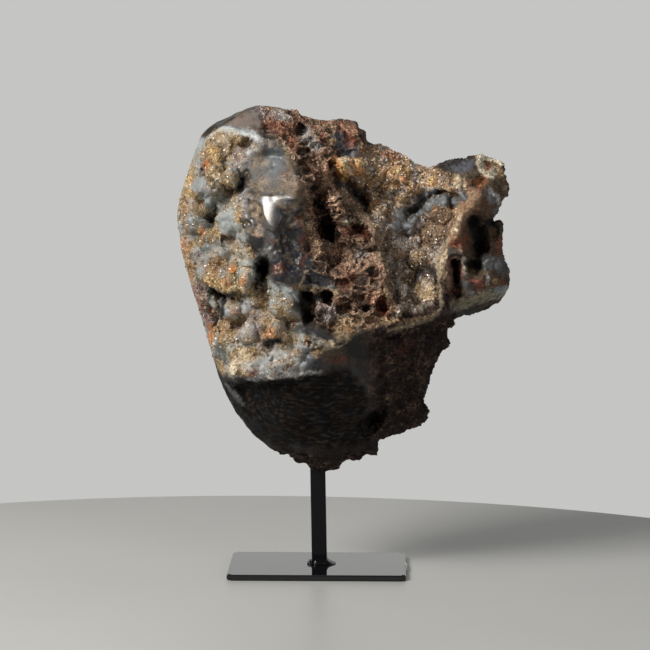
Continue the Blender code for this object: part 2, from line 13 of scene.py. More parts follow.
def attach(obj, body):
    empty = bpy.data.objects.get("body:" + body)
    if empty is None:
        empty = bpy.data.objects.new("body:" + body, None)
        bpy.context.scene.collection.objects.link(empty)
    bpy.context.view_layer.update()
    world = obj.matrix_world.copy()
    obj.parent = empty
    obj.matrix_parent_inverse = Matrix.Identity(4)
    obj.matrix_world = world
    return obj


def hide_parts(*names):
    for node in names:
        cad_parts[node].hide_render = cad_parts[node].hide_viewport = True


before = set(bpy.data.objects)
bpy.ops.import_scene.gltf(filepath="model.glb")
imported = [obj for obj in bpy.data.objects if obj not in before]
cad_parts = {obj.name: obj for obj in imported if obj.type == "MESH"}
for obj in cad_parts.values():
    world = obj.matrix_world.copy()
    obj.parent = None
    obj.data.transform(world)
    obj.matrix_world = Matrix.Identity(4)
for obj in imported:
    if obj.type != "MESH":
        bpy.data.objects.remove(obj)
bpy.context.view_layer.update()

bl_info = {
    "name": "Agate on Stand",
    "version": (1, 0, 0),
    "blender": (4, 5, 0),
    "location": "3D View > Sidebar > Agate",
    "description": "Carves a natural agate with its crystals and sets it on a painted stand",
    "category": "Object",
}

MM = 0.001

# The stone, seen from the front: x to the right and z up, in millimetres on the stand.
STONE_MIDDLE = (8, 185)
OUTLINE = (
    (-57, 298), (-40, 305), (-28, 305), (-17, 302), (-8, 299), (2, 297), (15, 296), (25, 295),
    (27, 291), (31, 289), (33, 283), (42, 279), (52, 274), (61, 269), (65, 266), (73, 265),
    (83, 269), (91, 271), (100, 272), (106, 274), (115, 272), (121, 269), (123, 260), (124, 251),
    (120, 244), (118, 238), (114, 231), (120, 230), (120, 221), (121, 212), (124, 200), (125, 190),
    (123, 182), (116, 176), (103, 170), (91, 166), (91, 162), (86, 160), (85, 156), (87, 149),
    (81, 144), (77, 134), (74, 125), (70, 116), (69, 112), (73, 105), (70, 97), (59, 93),
    (50, 89), (41, 86), (40, 76), (29, 76), (29, 73), (18, 72), (13, 66), (6, 65),
    (0, 64), (-5, 66), (-8, 70), (-14, 70), (-19, 77), (-26, 77), (-44, 92), (-56, 109),
    (-64, 126), (-72, 155), (-78, 175), (-87, 206), (-91, 231), (-90, 242), (-86, 257),
    (-76, 284), (-68, 293),
)

# Soundings of the front: x, z and how far the stone stands out there from its outline's plane.
DRUSE_FACE = (
    (-79, 273, 8), (-65, 277, 22), (-82, 251, 10), (-65, 258, 28), (-86, 228, 10), (-72, 232, 20),
    (-55, 235, 38), (-85, 209, 10), (-65, 214, 32), (-45, 216, 48), (-81, 191, 10), (-65, 194, 32),
    (-45, 196, 48), (-32, 177, 50), (-55, 174, 34), (-73, 169, 8), (-68, 153, 10), (-50, 158, 40),
    (-29, 160, 54), (-62, 135, 14), (-45, 141, 44), (-25, 141, 56),
)
CROWN = (
    (-66, 290, 12), (-46, 298, 22), (-26, 298, 26), (2, 294, 24), (23, 290, 20), (-48, 284, 32),
    (-29, 278, 44), (-10, 278, 40), (9, 276, 34), (37, 274, 14), (57, 267, 10),
)
SHOULDER = (
    (-45, 258, 42), (-28, 258, 52), (-11, 255, 54), (-41, 239, 52), (-28, 241, 58), (-10, 241, 54),
    (-25, 217, 56), (-10, 215, 50), (-19, 197, 57), (-13, 176, 54),
)
BOXWORK_RIDGE = (
    (9, 254, 40), (19, 237, 40), (34, 230, 30), (15, 216, 42), (36, 215, 34), (9, 196, 52),
    (29, 195, 48), (47, 189, 40), (12, 176, 54), (35, 176, 50), (52, 174, 42), (-3, 160, 60),
    (19, 164, 56), (44, 165, 46), (66, 167, 42), (81, 163, 20), (38, 222, 38), (42, 205, 40),
)
HOLLOW_FLOOR = (
    (31, 251, 8), (57, 254, 12), (73, 258, 12), (47, 231, 12), (73, 235, 8), (57, 213, 10),
    (72, 213, 12), (60, 187, 16), (72, 187, 18), (46, 221, 16), (52, 204, 16), (56, 190, 18),
    (28, 240, 10),
)
HORN = (
    (89, 267, 12), (110, 268, 18), (85, 259, 24), (103, 254, 32), (117, 255, 22), (92, 234, 32),
    (118, 225, 10), (89, 217, 32), (117, 209, 14), (81, 192, 36), (102, 189, 28), (119, 190, 16),
    (79, 176, 36), (94, 174, 18),
)
LOWER_BODY = (
    (-6, 137, 60), (16, 145, 54), (44, 148, 42), (67, 148, 30), (-51, 120, 20), (-32, 124, 44),
    (-13, 128, 56), (9, 127, 50), (35, 128, 40), (60, 126, 22), (-38, 103, 22), (-18, 106, 38),
    (6, 105, 38), (31, 105, 30), (59, 107, 16), (-19, 86, 17), (4, 86, 28), (25, 85, 20),
    (2, 73, 17),
)
FRONT = DRUSE_FACE + CROWN + SHOULDER + BOXWORK_RIDGE + HOLLOW_FLOOR + HORN + LOWER_BODY
# The same for the back, a rounded dome that thins towards the horn and the foot.
BACK = (
    (-60, 270, 26), (-70, 235, 34), (-72, 200, 34), (-62, 165, 30), (-52, 130, 24), (-35, 100, 20),
    (-40, 280, 32), (-45, 240, 48), (-45, 200, 52), (-35, 150, 46), (-15, 290, 28), (-5, 250, 52),
    (0, 200, 58), (5, 150, 50), (0, 110, 30), (5, 88, 22), (3, 73, 14), (30, 280, 22), (40, 240, 46),
    (45, 190, 50), (40, 140, 38), (35, 100, 20), (62, 245, 30), (75, 200, 32), (70, 150, 24),
    (90, 240, 22), (100, 200, 20), (110, 255, 14), (115, 220, 14), (118, 195, 12), (60, 115, 14),
)
SOUNDING_SOFTNESS = 6
LEAST_ROUNDING = 0.3
FRONT_TURN = 0.12
LEDGE_LIP = 1.5

# Forms of the front: half width, depth, then a path of (x, z) points. Depth is negative where
# the form stands out.
DRUSE_FORMS = (
    (12, 6, (-76, 262), (-78, 235), (-76, 214)), (13, -5, (-57, 240), (-58, 222), (-44, 224)),
    (6, 14, (-48, 258), (-55, 252), (-63, 244), (-67, 235), (-68, 227)), (5, 8, (-72, 263)),
    (11, -8, (-60, 263)), (7, -5, (-67, 274)), (7, -6, (-72, 253)), (6, -4, (-63, 248)),
    (7, -4, (-77, 229)), (8, -5, (-62, 209)),
    (5, -3, (-72, 286), (-62, 290), (-52, 289), (-41, 289), (-34, 283)),
    (4, 5, (-42, 283), (-51, 278), (-55, 271)), (7, 8, (-54, 220)),
    (6, -5, (-42, 206), (-43, 198)), (7, 16, (-34, 204), (-36, 194)),
    (9, -7, (-70, 197), (-56, 197), (-44, 194)), (6, 14, (-65, 185), (-56, 184), (-45, 184)),
    (5, 14, (-60, 181), (-62, 162)), (9, 5, (-50, 166), (-40, 172)),
    (5, -3, (-79, 186), (-73, 167), (-69, 152)), (8, -6, (-53, 175)), (9, -6, (-22, 177)),
    (9, -7, (-27, 165)), (6, 6, (-29, 156)), (7, -6, (-46, 150)), (7, -6, (-52, 141)),
)
LEDGE_FORMS = (
    (8, -4, (-45, 138), (-16, 145), (6, 154)), (6, -4, (-4, 158)), (5, -3, (-56, 126), (-53, 116)),
)
SHOULDER_FORMS = (
    (5, 5, (-43, 261)), (5, 3, (-39, 243), (-37, 229)), (3, 2, (-20, 240)), (5, -2, (-24, 222)),
    (5, -3, (-22, 202)), (6, 3, (-16, 225), (-15, 208)),
)
CLEFT_FORMS = (
    (10, 21, (0, 248), (3, 238), (7, 228)), (8, 12, (9, 230), (14, 209)),
    (8, 14, (14, 257), (20, 247)), (6, 8, (-5, 268)), (6, 8, (-10, 292)),
    (6, 5, (18, 289), (18, 276)), (7, 7, (-5, 194), (8, 193)), (5, 12, (-5, 184), (-5, 173)),
    (5, 13, (6, 185)),
)
BOXWORK_FORMS = (
    (6, 9, (22, 227), (29, 226)), (5, 5, (20, 240)), (5, 5, (22, 235)),
    (5, 6, (19, 216), (23, 216)), (5, 4, (36, 199)), (6, 7, (18, 180)), (5, 7, (31, 179)),
    (6, 4, (42, 180)), (5, 5, (5, 261)), (5, 4, (7, 251)), (5, 5, (17, 194)), (5, 4, (24, 201)),
    (5, -4, (11, 249), (18, 245), (29, 236), (36, 227), (40, 219), (39, 210), (43, 201), (46, 189),
     (52, 173)),
)
HOLLOW_FORMS = (
    (7, -8, (18, 267)), (6, -7, (28, 266)), (7, -4, (53, 259)), (6, -4, (61, 253)),
    (6, -5, (41, 237)), (7, -5, (51, 227)), (7, -5, (62, 228)), (6, -4, (80, 245)),
    (7, -4, (71, 237)), (4, 9, (60, 237), (65, 239), (68, 245)),
    (4, 9, (75, 247), (82, 249), (89, 247)), (5, 8, (88, 243)), (7, 10, (26, 248), (29, 239)),
    (8, -4, (65, 208)), (9, -5, (69, 186)), (6, 3, (73, 197)),
)
HORN_FORMS = (
    (5, -4, (103, 250), (98, 240), (90, 230), (84, 217), (79, 206), (78, 195), (81, 187),
     (79, 179), (74, 171), (57, 168), (35, 166), (19, 162), (13, 156)), (5, 6, (105, 258)),
    (5, 3, (110, 266)), (9, 20, (101, 231), (103, 214)), (8, 11, (112, 228)), (6, 5, (111, 219)),
    (6, 14, (89, 205), (89, 189)), (8, 12, (101, 202)), (5, -4, (98, 183), (118, 186)),
    (5, 6, (87, 180)),
)
LOWER_FORMS = (
    (8, 12, (35, 102)), (7, -3, (69, 107)), (7, 3, (59, 150), (54, 116)), (7, -3, (67, 134)),
    (7, -3, (47, 117)),
)
FORMS = (
    DRUSE_FORMS + LEDGE_FORMS + SHOULDER_FORMS + CLEFT_FORMS + BOXWORK_FORMS + HOLLOW_FORMS
    + HORN_FORMS + LOWER_FORMS
)

# Ledges: how far down the front falls back below a path, how deep, and the path of (x, z)
# points from left to right.
LEDGES = (
    (26, 11, (-57, 122), (-48, 128), (-34, 131), (-9, 135), (13, 137)),
    (22, 11, (8, 150), (19, 156), (31, 160), (54, 162), (79, 165), (88, 177)),
)

# Fine forms that the plain solids leave out. Holes have steep sides: half width, depth, path.
HOLES = (
    (1.8, 2.5, (-43, 246)), (1.6, 2.5, (-40, 239)), (1.5, 2.5, (-42, 232)), (1.3, 2, (-38, 246)),
    (1.2, 2, (-36, 231)), (1.4, 2, (-38, 226)), (1, 1.5, (-36, 238)), (1.2, 2, (-40, 250)),
    (1.2, 2, (-17, 261)), (2.2, 3, (-20, 240)), (2.4, 3, (-44, 264), (-43, 260)),
    (4.5, 7, (24, 228), (32, 225)), (1.6, 4, (20, 241), (24, 241)), (1.8, 4, (19, 236), (24, 236)),
    (3, 5, (-10, 291)), (2, 4, (-3, 158)), (2.4, 2, (-39, 136)),
    (2, 3, (-45, 258), (-50, 254), (-55, 249)), (2, 3, (-61, 244), (-67, 242)),
    (2, 3, (-68, 236), (-70, 229)), (3.6, 6, (101, 232), (104, 224), (105, 215), (102, 211)),
    (3, 4, (111, 232), (115, 225)), (2.6, 8, (89, 206), (89, 198), (90, 194)),
    (3.6, 7, (99, 204), (103, 204)), (1.8, 3, (110, 267)),
    (2.4, 3, (101, 257), (104, 258), (108, 259)), (5, 7, (31, 100), (36, 104), (41, 108)),
    (3, 4, (31, 94), (36, 97)), (1.6, 5, (63, 238)), (1.6, 5, (76, 250), (83, 251), (89, 248)),
    (2.4, 5, (-65, 186), (-56, 185), (-47, 186)), (1.8, 5, (-61, 181), (-61, 171)),
    (2, 4, (-30, 157), (-23, 158)), (2.6, 4, (-73, 262)), (2.6, 6, (-5, 186), (1, 185), (6, 185)),
    (2.2, 3, (-10, 181), (-4, 172)), (1.6, 3, (38, 194)), (2, 4, (29, 183)), (2.4, 4, (31, 178)),
    (1.4, 3, (26, 177)), (3, 4, (41, 180)), (1.5, 3, (20, 178)), (3, 5, (1, 244), (8, 238)),
)

# Smooth balls of grey chalcedony, and balls coated with crystals: x, z and radius.
SMOOTH_BALLS = (
    (51, 228, 4), (54, 234, 4), (59, 227, 4.5), (63, 232, 3), (65, 244, 3), (70, 247, 3),
    (71, 241, 3.5), (75, 244, 3), (81, 245, 4), (55, 237, 3), (93, 248, 3), (66, 237, 3),
    (75, 250, 3), (88, 244, 3), (61, 239, 2.5),
)
BALLS = (
    (18, 265, 7), (28, 266, 5), (48, 260, 3.5), (56, 258, 3), (52, 264, 3), (64, 252, 3.5),
    (59, 251, 3), (48, 251, 3), (45, 248, 3), (40, 237, 4), (55, 246, 3), (53, 241, 3),
    (79, 264, 3), (37, 246, 3.5), (84, 253, 3), (90, 258, 4), (64, 207, 6.5), (70, 187, 8),
    (53, 214, 8.5), (47, 204, 6), (56, 188, 3), (74, 222, 7.5), (63, 218, 6), (59, 197, 5),
    (48, 187, 4.5), (68, 177, 4), (55, 177, 4), (79, 237, 7.5), (43, 254, 3), (70, 256, 3),
    (75, 260, 3), (35, 254, 3), (39, 260, 4), (33, 242, 3), (44, 241, 3), (47, 234, 3),
    (-65, 275, 4.5), (-64, 263, 6), (-56, 261, 5), (-75, 254, 4.5), (-69, 252, 4), (-62, 248, 5),
    (-74, 225, 2.5), (-53, 203, 3), (-65, 208, 5), (-50, 232, 5), (-44, 201, 3), (-46, 151, 3.5),
    (-52, 141, 3.5), (-22, 179, 6), (-17, 183, 4), (-26, 165, 4.5), (-52, 175, 5), (-40, 175, 4.5),
    (-42, 163, 5), (-57, 164, 4), (-31, 150, 5), (-20, 147, 5), (-4, 158, 4.5), (5, 180, 3.5),
    (10, 176, 3),
)

# A small bright flat of the shoulder, as an outline of (x, z) points.
SMALL_GLINT = ((-48, 234), (-43, 234), (-40, 231), (-41, 228), (-45, 228.5))
# Polished faces: an outline of (x, z) points, a point on the face, its direction there, how
# soft its edge is, and how fast it falls away from flat along x and along z.
FACETS = (
    (((-46, 262), (-40, 274), (-29, 277), (-19, 275), (-10, 262), (-9, 254), (-12, 250), (-34, 251),
      (-44, 253)), (-28, -48, 263), (-0.18, -0.82, 0.54), 4, (0, 0)),
    (((-34.5, 250), (-19, 250), (-17, 242), (-21, 232), (-26, 226), (-31, 231), (-34, 238)),
     (-32, -57.0, 243), (-0.333, -0.867, 0.367), 3, (0.015, 0.007)),
    (((-28, 250), (-11, 249.5), (-10, 247.5), (-20, 247), (-28, 246.5)), (-20, -58.5, 248),
     (-0.3, -0.88, 0.37), 1.5, (0, 0.06)),
    (SMALL_GLINT, (-43.5, -50.5, 231), (-0.333, -0.867, 0.367), 1.5, (0.01, 0.01)),
)

# Where each kind of surface lies, as outlines in the same view.
AREAS = {
    "boxwork": (
        (-38, 308), (-11, 306), (21, 295), (31, 287), (35, 277), (15, 273), (13, 252), (20, 244),
        (32, 235), (41, 218), (46, 192), (53, 171), (20, 163), (-2, 168), (-8, 189), (-2, 208),
        (-8, 237), (-6, 256), (-16, 272), (-23, 283), (-34, 292),
    ),
    "druse": (
        (-92, 265), (-78, 288), (-40, 286), (-40, 270), (-50, 255), (-44, 225), (-32, 200),
        (-12, 190), (-8, 165), (10, 155), (-10, 138), (-52, 132), (-66, 134), (-76, 160),
        (-90, 190), (-97, 225),
    ),
    "hollow": (
        (14, 272), (32, 280), (48, 280), (66, 270), (79, 266), (92, 254), (95, 247), (88, 236),
        (82, 220), (77, 206), (75, 188), (75, 179), (66, 175), (54, 174), (50, 188), (46, 206),
        (43, 220), (35, 235), (24, 243), (16, 251),
    ),
    "facet": (
        (-48, 261), (-38, 278), (-29, 284), (-19, 281), (-10, 262), (-6, 256), (-10, 244),
        (-18, 231), (-33, 224), (-44, 229), (-47, 246), (-40, 255),
    ),
    "gloss": (
        (-33, 227), (-20, 236), (-10, 244), (-7, 228), (-2, 208), (-7, 190), (13, 186), (13, 196),
        (-3, 201), (-22, 195), (-30, 208), (-30, 219),
    ),
    "crown": (
        (-84, 278), (-76, 284), (-61, 292), (-49, 290), (-39, 291), (-34, 289), (-36, 296),
        (-39, 310), (-60, 310), (-90, 300),
    ),
    "body": (
        (-62, 128), (-34, 132), (-9, 136), (11, 138), (22, 142), (34, 120), (30, 98), (40, 84),
        (40, 70), (-30, 60), (-70, 100),
    ),
    "horn": (
        (80, 262), (92, 268), (104, 274), (120, 270), (126, 250), (120, 235), (122, 215),
        (126, 195), (118, 190), (92, 186), (80, 188), (78, 206), (84, 222), (92, 240), (94, 250),
        (86, 256),
    ),
}
# Smooth places on the horn: its lip and its ridge.
SMOOTH_AREAS = (
    (
        (82, 174), (89, 183), (98, 188), (108, 191), (118, 192), (125, 188), (123, 180),
        (105, 174), (94, 168),
    ),
    (
        (95, 253), (107, 249), (104, 239), (98, 232), (94, 221), (85, 219), (85, 229), (89, 239),
        (94, 247),
    ),
)
# The brightest polish.
BRIGHT_AREAS = (
    (
        (-34.5, 250), (-10, 250), (-12, 246), (-19, 240), (-21, 232), (-26, 226), (-31, 231),
        (-34, 238),
    ),
    (
        (-45, 240), (-43, 240), (-40, 233), (-41, 231), (-44, 235),
    ),
    SMALL_GLINT,
)

# The pale rim between the boxwork and the hollow.
RIM_PATH = (
    (13, 252), (20, 243.5), (30, 235), (36, 227), (40, 219), (43, 209), (46, 198), (48, 187),
)
# The edge between the polished back and the rough right side, as height and distance to the right.
BACK_EDGE = (
    (60, 22), (85, 30), (105, 22), (130, 40), (155, 52), (185, 42), (210, 46), (235, 60),
    (262, 44), (285, 20), (310, 10),
)
# The rough right side begins here on the front.
ROUGH_RIGHT = 30
# The lower body and the rough foot begin below these heights.
LOWER_TOP = 134
FOOT_TOP = 88

# The ball that the stone starts from, the most triangles that it keeps, how far a point of the
# smooth back faces backwards, and how strongly the back and the rest are thinned.
BALL_SUBDIVISIONS = 8
STONE_LIMIT = 192000
BACK_FACING = 0.1
BACK_EASE = 0.3
REST_EASE = 0.1

# How far the edges of areas and of forms wander: the distance between bends, and their size.
EDGE_WANDER = ((9, 3.2), (3.5, 1.6), (1.8, 0.7))
FORM_WANDER = ((7, 1.3), (2.5, 0.7))
WANDER_SEEDS = (41, 47)
# How softly one kind of surface passes into the next, in millimetres where it is a distance.
NORMAL_SOFT = 2.0
FRONT_EDGE = 0.9
FRONT_FADE = 4
AREA_SOFT = 3
GLINT_SOFT = 2.5
AREA_FADE = 12
# How far the dark gloss covers the boxwork, and other areas cover the rough right side.
GLOSS_COVER = 0.6
RIGHT_COVER = {"hollow": 1, "boxwork": 1, "body": 1, "horn": 0.8, "smooth": 1}
# The pale rim is gone this many widths from its path.
RIM_EDGE = 1.4
RIM_WIDTH = 2.2
# The druse face's relief comes in over this share of the way inwards from the outline.
EDGE_SHARE = 0.09
# The turns to both sides over which the outline's notches are eased.
NOTCH_TURNS = np.radians(np.arange(-16, 17, 4))
# How steeply the sides of a hole fall, and how deep the balls of crystals are sunk in the stone.
HOLE_STEEPNESS = 1.6
BALL_SINK = 0.25

# Cells of the boxwork: the size of a cell, the share of it that its walls take, and its depth.
LARGE_CELLS, LARGE_DEPTH = (6.5, 0.2), 3.0
SMALL_CELLS, SMALL_DEPTH = (3.2, 0.36), 1.4
# How far the small cells' pattern is shifted, and how dark their pits are beside the large ones, by
# their own colour and by painted shade.
CELL_SHIFT = 17
SMALL_PITS = 0.8
# The cells are wide and low, so that their walls stand like the ribs of a ladder.
RIB_STRETCH = (0.6, 0.9, 0.92)
# How strong the cells are on the rough right side.
CELL_SHARE_RIGHT = 0.6
# How much the pale rim and the horn's smooth places calm the relief, and how high the rim is.
RIM_CALM = 0.75
LIP_CALM = 0.45
RIM_HEIGHT = 1.1
# How far a lump reaches, as a share of its size.
LUMP_REACH = 0.75
# Round lumps of an area: how far they are sunk, then the height, size and shift of each kind.
LUMPS = {
    "druse": (1.8, ((2.4, 8, 31), (1.3, 3.8, 5))),
    "hollow": (1.0, ((1.4, 5, 9), (0.8, 2.6, 3))),
}
# Unevenness of each area: its seed, then the distance between its swells and their height.
SWELLS = (
    ("druse", 1, (16, 7.0), (8, 4.5)),
    ("rough", 2, (18, 5.0), (8, 2.4)),
    ("low", 3, (22, 2.0), (9, 0.5)),
    ("grain", 7, (3.0, 0.7), (1.6, 0.5)),
    ("body", 9, (5, 0.4), (2.2, 0.2)),
    ("crown", 25, (8, 1.0), (3, 0.3)),
    ("gloss", 21, (3.2, 1.1), (1.9, 0.8)),
    ("facet", 23, (2.4, 1.0)),
    ("horn", 15, (6, 1.7), (2.6, 1.3), (1.4, 0.6)),
)
# The polished face has small dents in place of swells: how strong, from what height, how deep.
DENTS = (2.4, 0.9, 0.8)

# Colours of the stone, as red, green and blue screen values.
PALETTE = {
    "olive": (50, 37, 20),
    "rose grey": (150, 134, 124),
    "white band": (180, 183, 181),
    "pale blue": (150, 155, 153),
    "blue grey": (124, 126, 126),
    "lilac": (150, 144, 146),
    "frost": (190, 186, 184),
    "ash": (122, 118, 115),
    "slate": (78, 80, 86),
    "steel": (94, 95, 96),
    "amber": (150, 110, 66),
    "rim cream": (152, 138, 114),
    "shade": (58, 50, 40),
    "navy": (46, 48, 56),
    # Near black painted shade, laid in holes, clefts, the hollow's gaps and the pits of cells.
    "recess shade": (18, 14, 13),
    "pit brown": (62, 46, 32),
    "umber": (78, 68, 50),
    "tan": (160, 136, 102),
    "gold": (198, 164, 112),
    "ochre": (150, 116, 80),
    "orange": (192, 122, 66),
    "rust": (132, 74, 50),
    "brick": (124, 68, 58),
    "rose tan": (172, 144, 122),
    "cream": (216, 194, 162),
    "ivory": (228, 216, 194),
    "hollow brown": (105, 85, 66),
    "lip": (126, 118, 94),
    "ridge": (152, 122, 94),
    "sea grey": (118, 128, 132),
    "wall": (160, 132, 110),
    # Dark brown of the cells' pits, partly their own colour and partly painted shade.
    "pit": (38, 24, 19),
    "rough": (58, 38, 33),
    "body": (30, 27, 27),
}

# Markings of the front, laid from first to last: colour, half width, how fully the colour
# covers, and a path of (x, z) points. The near black markings are painted shade in the holes,
# clefts and gaps of the stone.
CROWN_MARKS = (
    ("olive", 3, 1, (-74, 287), (-68, 293), (-61, 297), (-51, 300), (-42, 303)),
    ("rose grey", 6, 0.8, (-51, 294), (-42, 297), (-37, 299)),
    ("white band", 3, 1, (-78, 280), (-72, 286), (-66, 290), (-61, 292), (-53, 289), (-45, 289),
     (-39, 288), (-35, 283), (-38, 280), (-42, 277)),
)
DRUSE_MARKS = (
    ("pale blue", 3, 0.8, (-79, 276), (-77, 282)),
    ("tan", 6, 0.9, (-67, 285), (-58, 284), (-52, 284)), ("tan", 5, 0.8, (-63, 277), (-56, 274)),
    ("cream", 2.5, 0.9, (-60, 284)), ("pit brown", 2.5, 0.9, (-42, 283), (-48, 278), (-52, 274)),
    ("gold", 4, 1, (-66, 276)), ("gold", 3, 0.8, (-64, 271)), ("orange", 4, 1, (-71, 267)),
    ("pit brown", 3, 1, (-73, 262)), ("tan", 7.5, 0.9, (-63, 263), (-56, 261)),
    ("gold", 3, 0.6, (-60, 256), (-53, 257)), ("rose grey", 5, 0.8, (-48, 276), (-48, 270)),
    ("blue grey", 6, 0.9, (-75, 254), (-70, 252)), ("blue grey", 4.5, 0.8, (-63, 248), (-60, 247)),
    ("gold", 2.5, 0.8, (-84, 257), (-83, 247)),
    ("ochre", 3, 0.8, (-85, 241), (-86, 230), (-84, 212)),
    ("umber", 6.5, 0.7, (-76, 240), (-73, 231), (-75, 221)), ("orange", 3, 1, (-74, 225)),
    ("orange", 2.5, 1, (-88, 216)), ("ochre", 4, 0.8, (-82, 200), (-81, 190)),
    ("pale blue", 7, 0.8, (-56, 243), (-57, 232), (-51, 224)),
    ("pale blue", 6.5, 0.7, (-63, 215), (-51, 215), (-44, 207)),
    ("tan", 4.5, 0.8, (-51, 249), (-49, 241)), ("gold", 2.5, 0.7, (-48, 239), (-48, 234)),
    ("pit brown", 3, 0.9, (-55, 220)), ("ochre", 5, 0.9, (-65, 209), (-62, 203)),
    ("orange", 3, 1, (-53, 203)), ("gold", 3, 0.7, (-59, 207)),
    ("rose grey", 5, 0.5, (-78, 208), (-73, 205)), ("blue grey", 3, 0.7, (-75, 199), (-71, 197)),
    ("gold", 4.5, 0.9, (-70, 193), (-60, 192), (-49, 192)), ("orange", 3, 0.8, (-56, 195)),
    ("orange", 2.5, 0.7, (-45, 195)), ("cream", 2.5, 0.9, (-43, 204), (-43, 199)),
    ("orange", 2.5, 0.7, (-44, 197)), ("ash", 4.5, 0.7, (-37, 196), (-32, 193)),
    ("recess shade", 4.5, 1, (-35, 204), (-34, 198)), ("pale blue", 2.5, 0.9, (-57, 183), (-58, 174)),
    ("recess shade", 2.5, 1, (-65, 186), (-56, 185), (-47, 186)), ("recess shade", 2, 1, (-60, 182), (-61, 171)),
    ("brick", 5, 0.8, (-76, 186), (-72, 174), (-70, 165)),
    ("rose grey", 3, 0.6, (-73, 183), (-71, 176)), ("orange", 2.5, 0.9, (-69, 162), (-69, 153)),
    ("tan", 4, 0.8, (-54, 180), (-48, 184)), ("orange", 3, 0.9, (-52, 175)),
    ("cream", 1.5, 0.7, (-52, 174)), ("lilac", 6, 0.8, (-43, 179), (-38, 173), (-40, 164)),
    ("ochre", 4, 0.8, (-56, 168), (-59, 159)), ("tan", 6.5, 0.8, (-22, 183), (-17, 179)),
    ("gold", 3, 0.7, (-22, 177)), ("orange", 4, 0.8, (-27, 165), (-29, 161)),
    ("tan", 5, 0.6, (-24, 170), (-20, 165)), ("lilac", 4.5, 0.6, (-48, 163), (-36, 159)),
    ("recess shade", 3, 0.7, (-15, 168), (-10, 166)), ("recess shade", 2.5, 1, (-30, 157), (-23, 159)),
    ("cream", 3, 1, (-46, 150), (-46, 146)), ("gold", 2.5, 0.5, (-48, 151)),
    ("ivory", 3, 1, (-51, 142), (-53, 138)), ("pale blue", 4, 0.6, (-57, 152), (-58, 147)),
    ("frost", 4.5, 0.65, (-42, 141), (-29, 146), (-17, 149)),
    ("frost", 4, 0.5, (-34, 153), (-25, 152)), ("brick", 3, 0.9, (-39, 136)),
    ("frost", 1.5, 1, (-43, 132), (-34, 134), (-22, 136), (-9, 138), (3, 138)),
    ("ash", 3, 0.6, (-25, 140), (-9, 141)), ("navy", 4.5, 0.8, (-6, 150), (-2, 147), (3, 145)),
    ("ochre", 4, 0.9, (-4, 159)), ("rust", 4, 0.5, (4, 149), (16, 146)),
)
SHOULDER_MARKS = (
    ("ash", 7.5, 0.9, (-34, 279), (-30, 272), (-34, 262)),
    ("slate", 6.5, 0.8, (-27, 277), (-25, 268)),
    ("rose tan", 5, 0.9, (-20, 259), (-11, 257), (-8, 253)), ("pale blue", 2.5, 0.7, (-12, 261)),
    ("orange", 2.5, 0.8, (-18, 264)), ("recess shade", 1, 1, (-17, 261)),
    ("tan", 2.5, 0.7, (-39, 272), (-34, 269)), ("tan", 2.5, 0.7, (-30, 259), (-36, 255)),
    ("pit brown", 3, 0.9, (-44, 261)), ("frost", 4, 0.8, (-45, 251), (-43, 247), (-44, 239)),
    ("frost", 2.5, 0.7, (-32, 246), (-24, 247), (-16, 248)),
    ("rose tan", 4, 1, (-39, 244), (-37, 237), (-36, 227)), ("recess shade", 1.5, 1, (-42, 245)),
    ("recess shade", 1, 1, (-39, 235)), ("recess shade", 1, 1, (-34, 238)), ("brick", 2, 0.9, (-20, 240)),
    ("tan", 2, 0.8, (-19, 236)), ("tan", 2, 0.8, (-15, 230)), ("rust", 3.5, 0.8, (-25, 221)),
    ("rust", 4, 0.9, (-23, 204)), ("frost", 1.5, 0.9, (-13, 220)), ("tan", 2, 0.8, (-20, 212)),
    ("brick", 2.5, 0.8, (-8, 223)), ("ash", 3, 0.6, (-31, 224), (-27, 212)),
    ("blue grey", 3, 0.6, (-30, 218), (-34, 212)),
    ("ochre", 1.5, 0.8, (-12, 193), (-2, 192), (9, 192)),
)
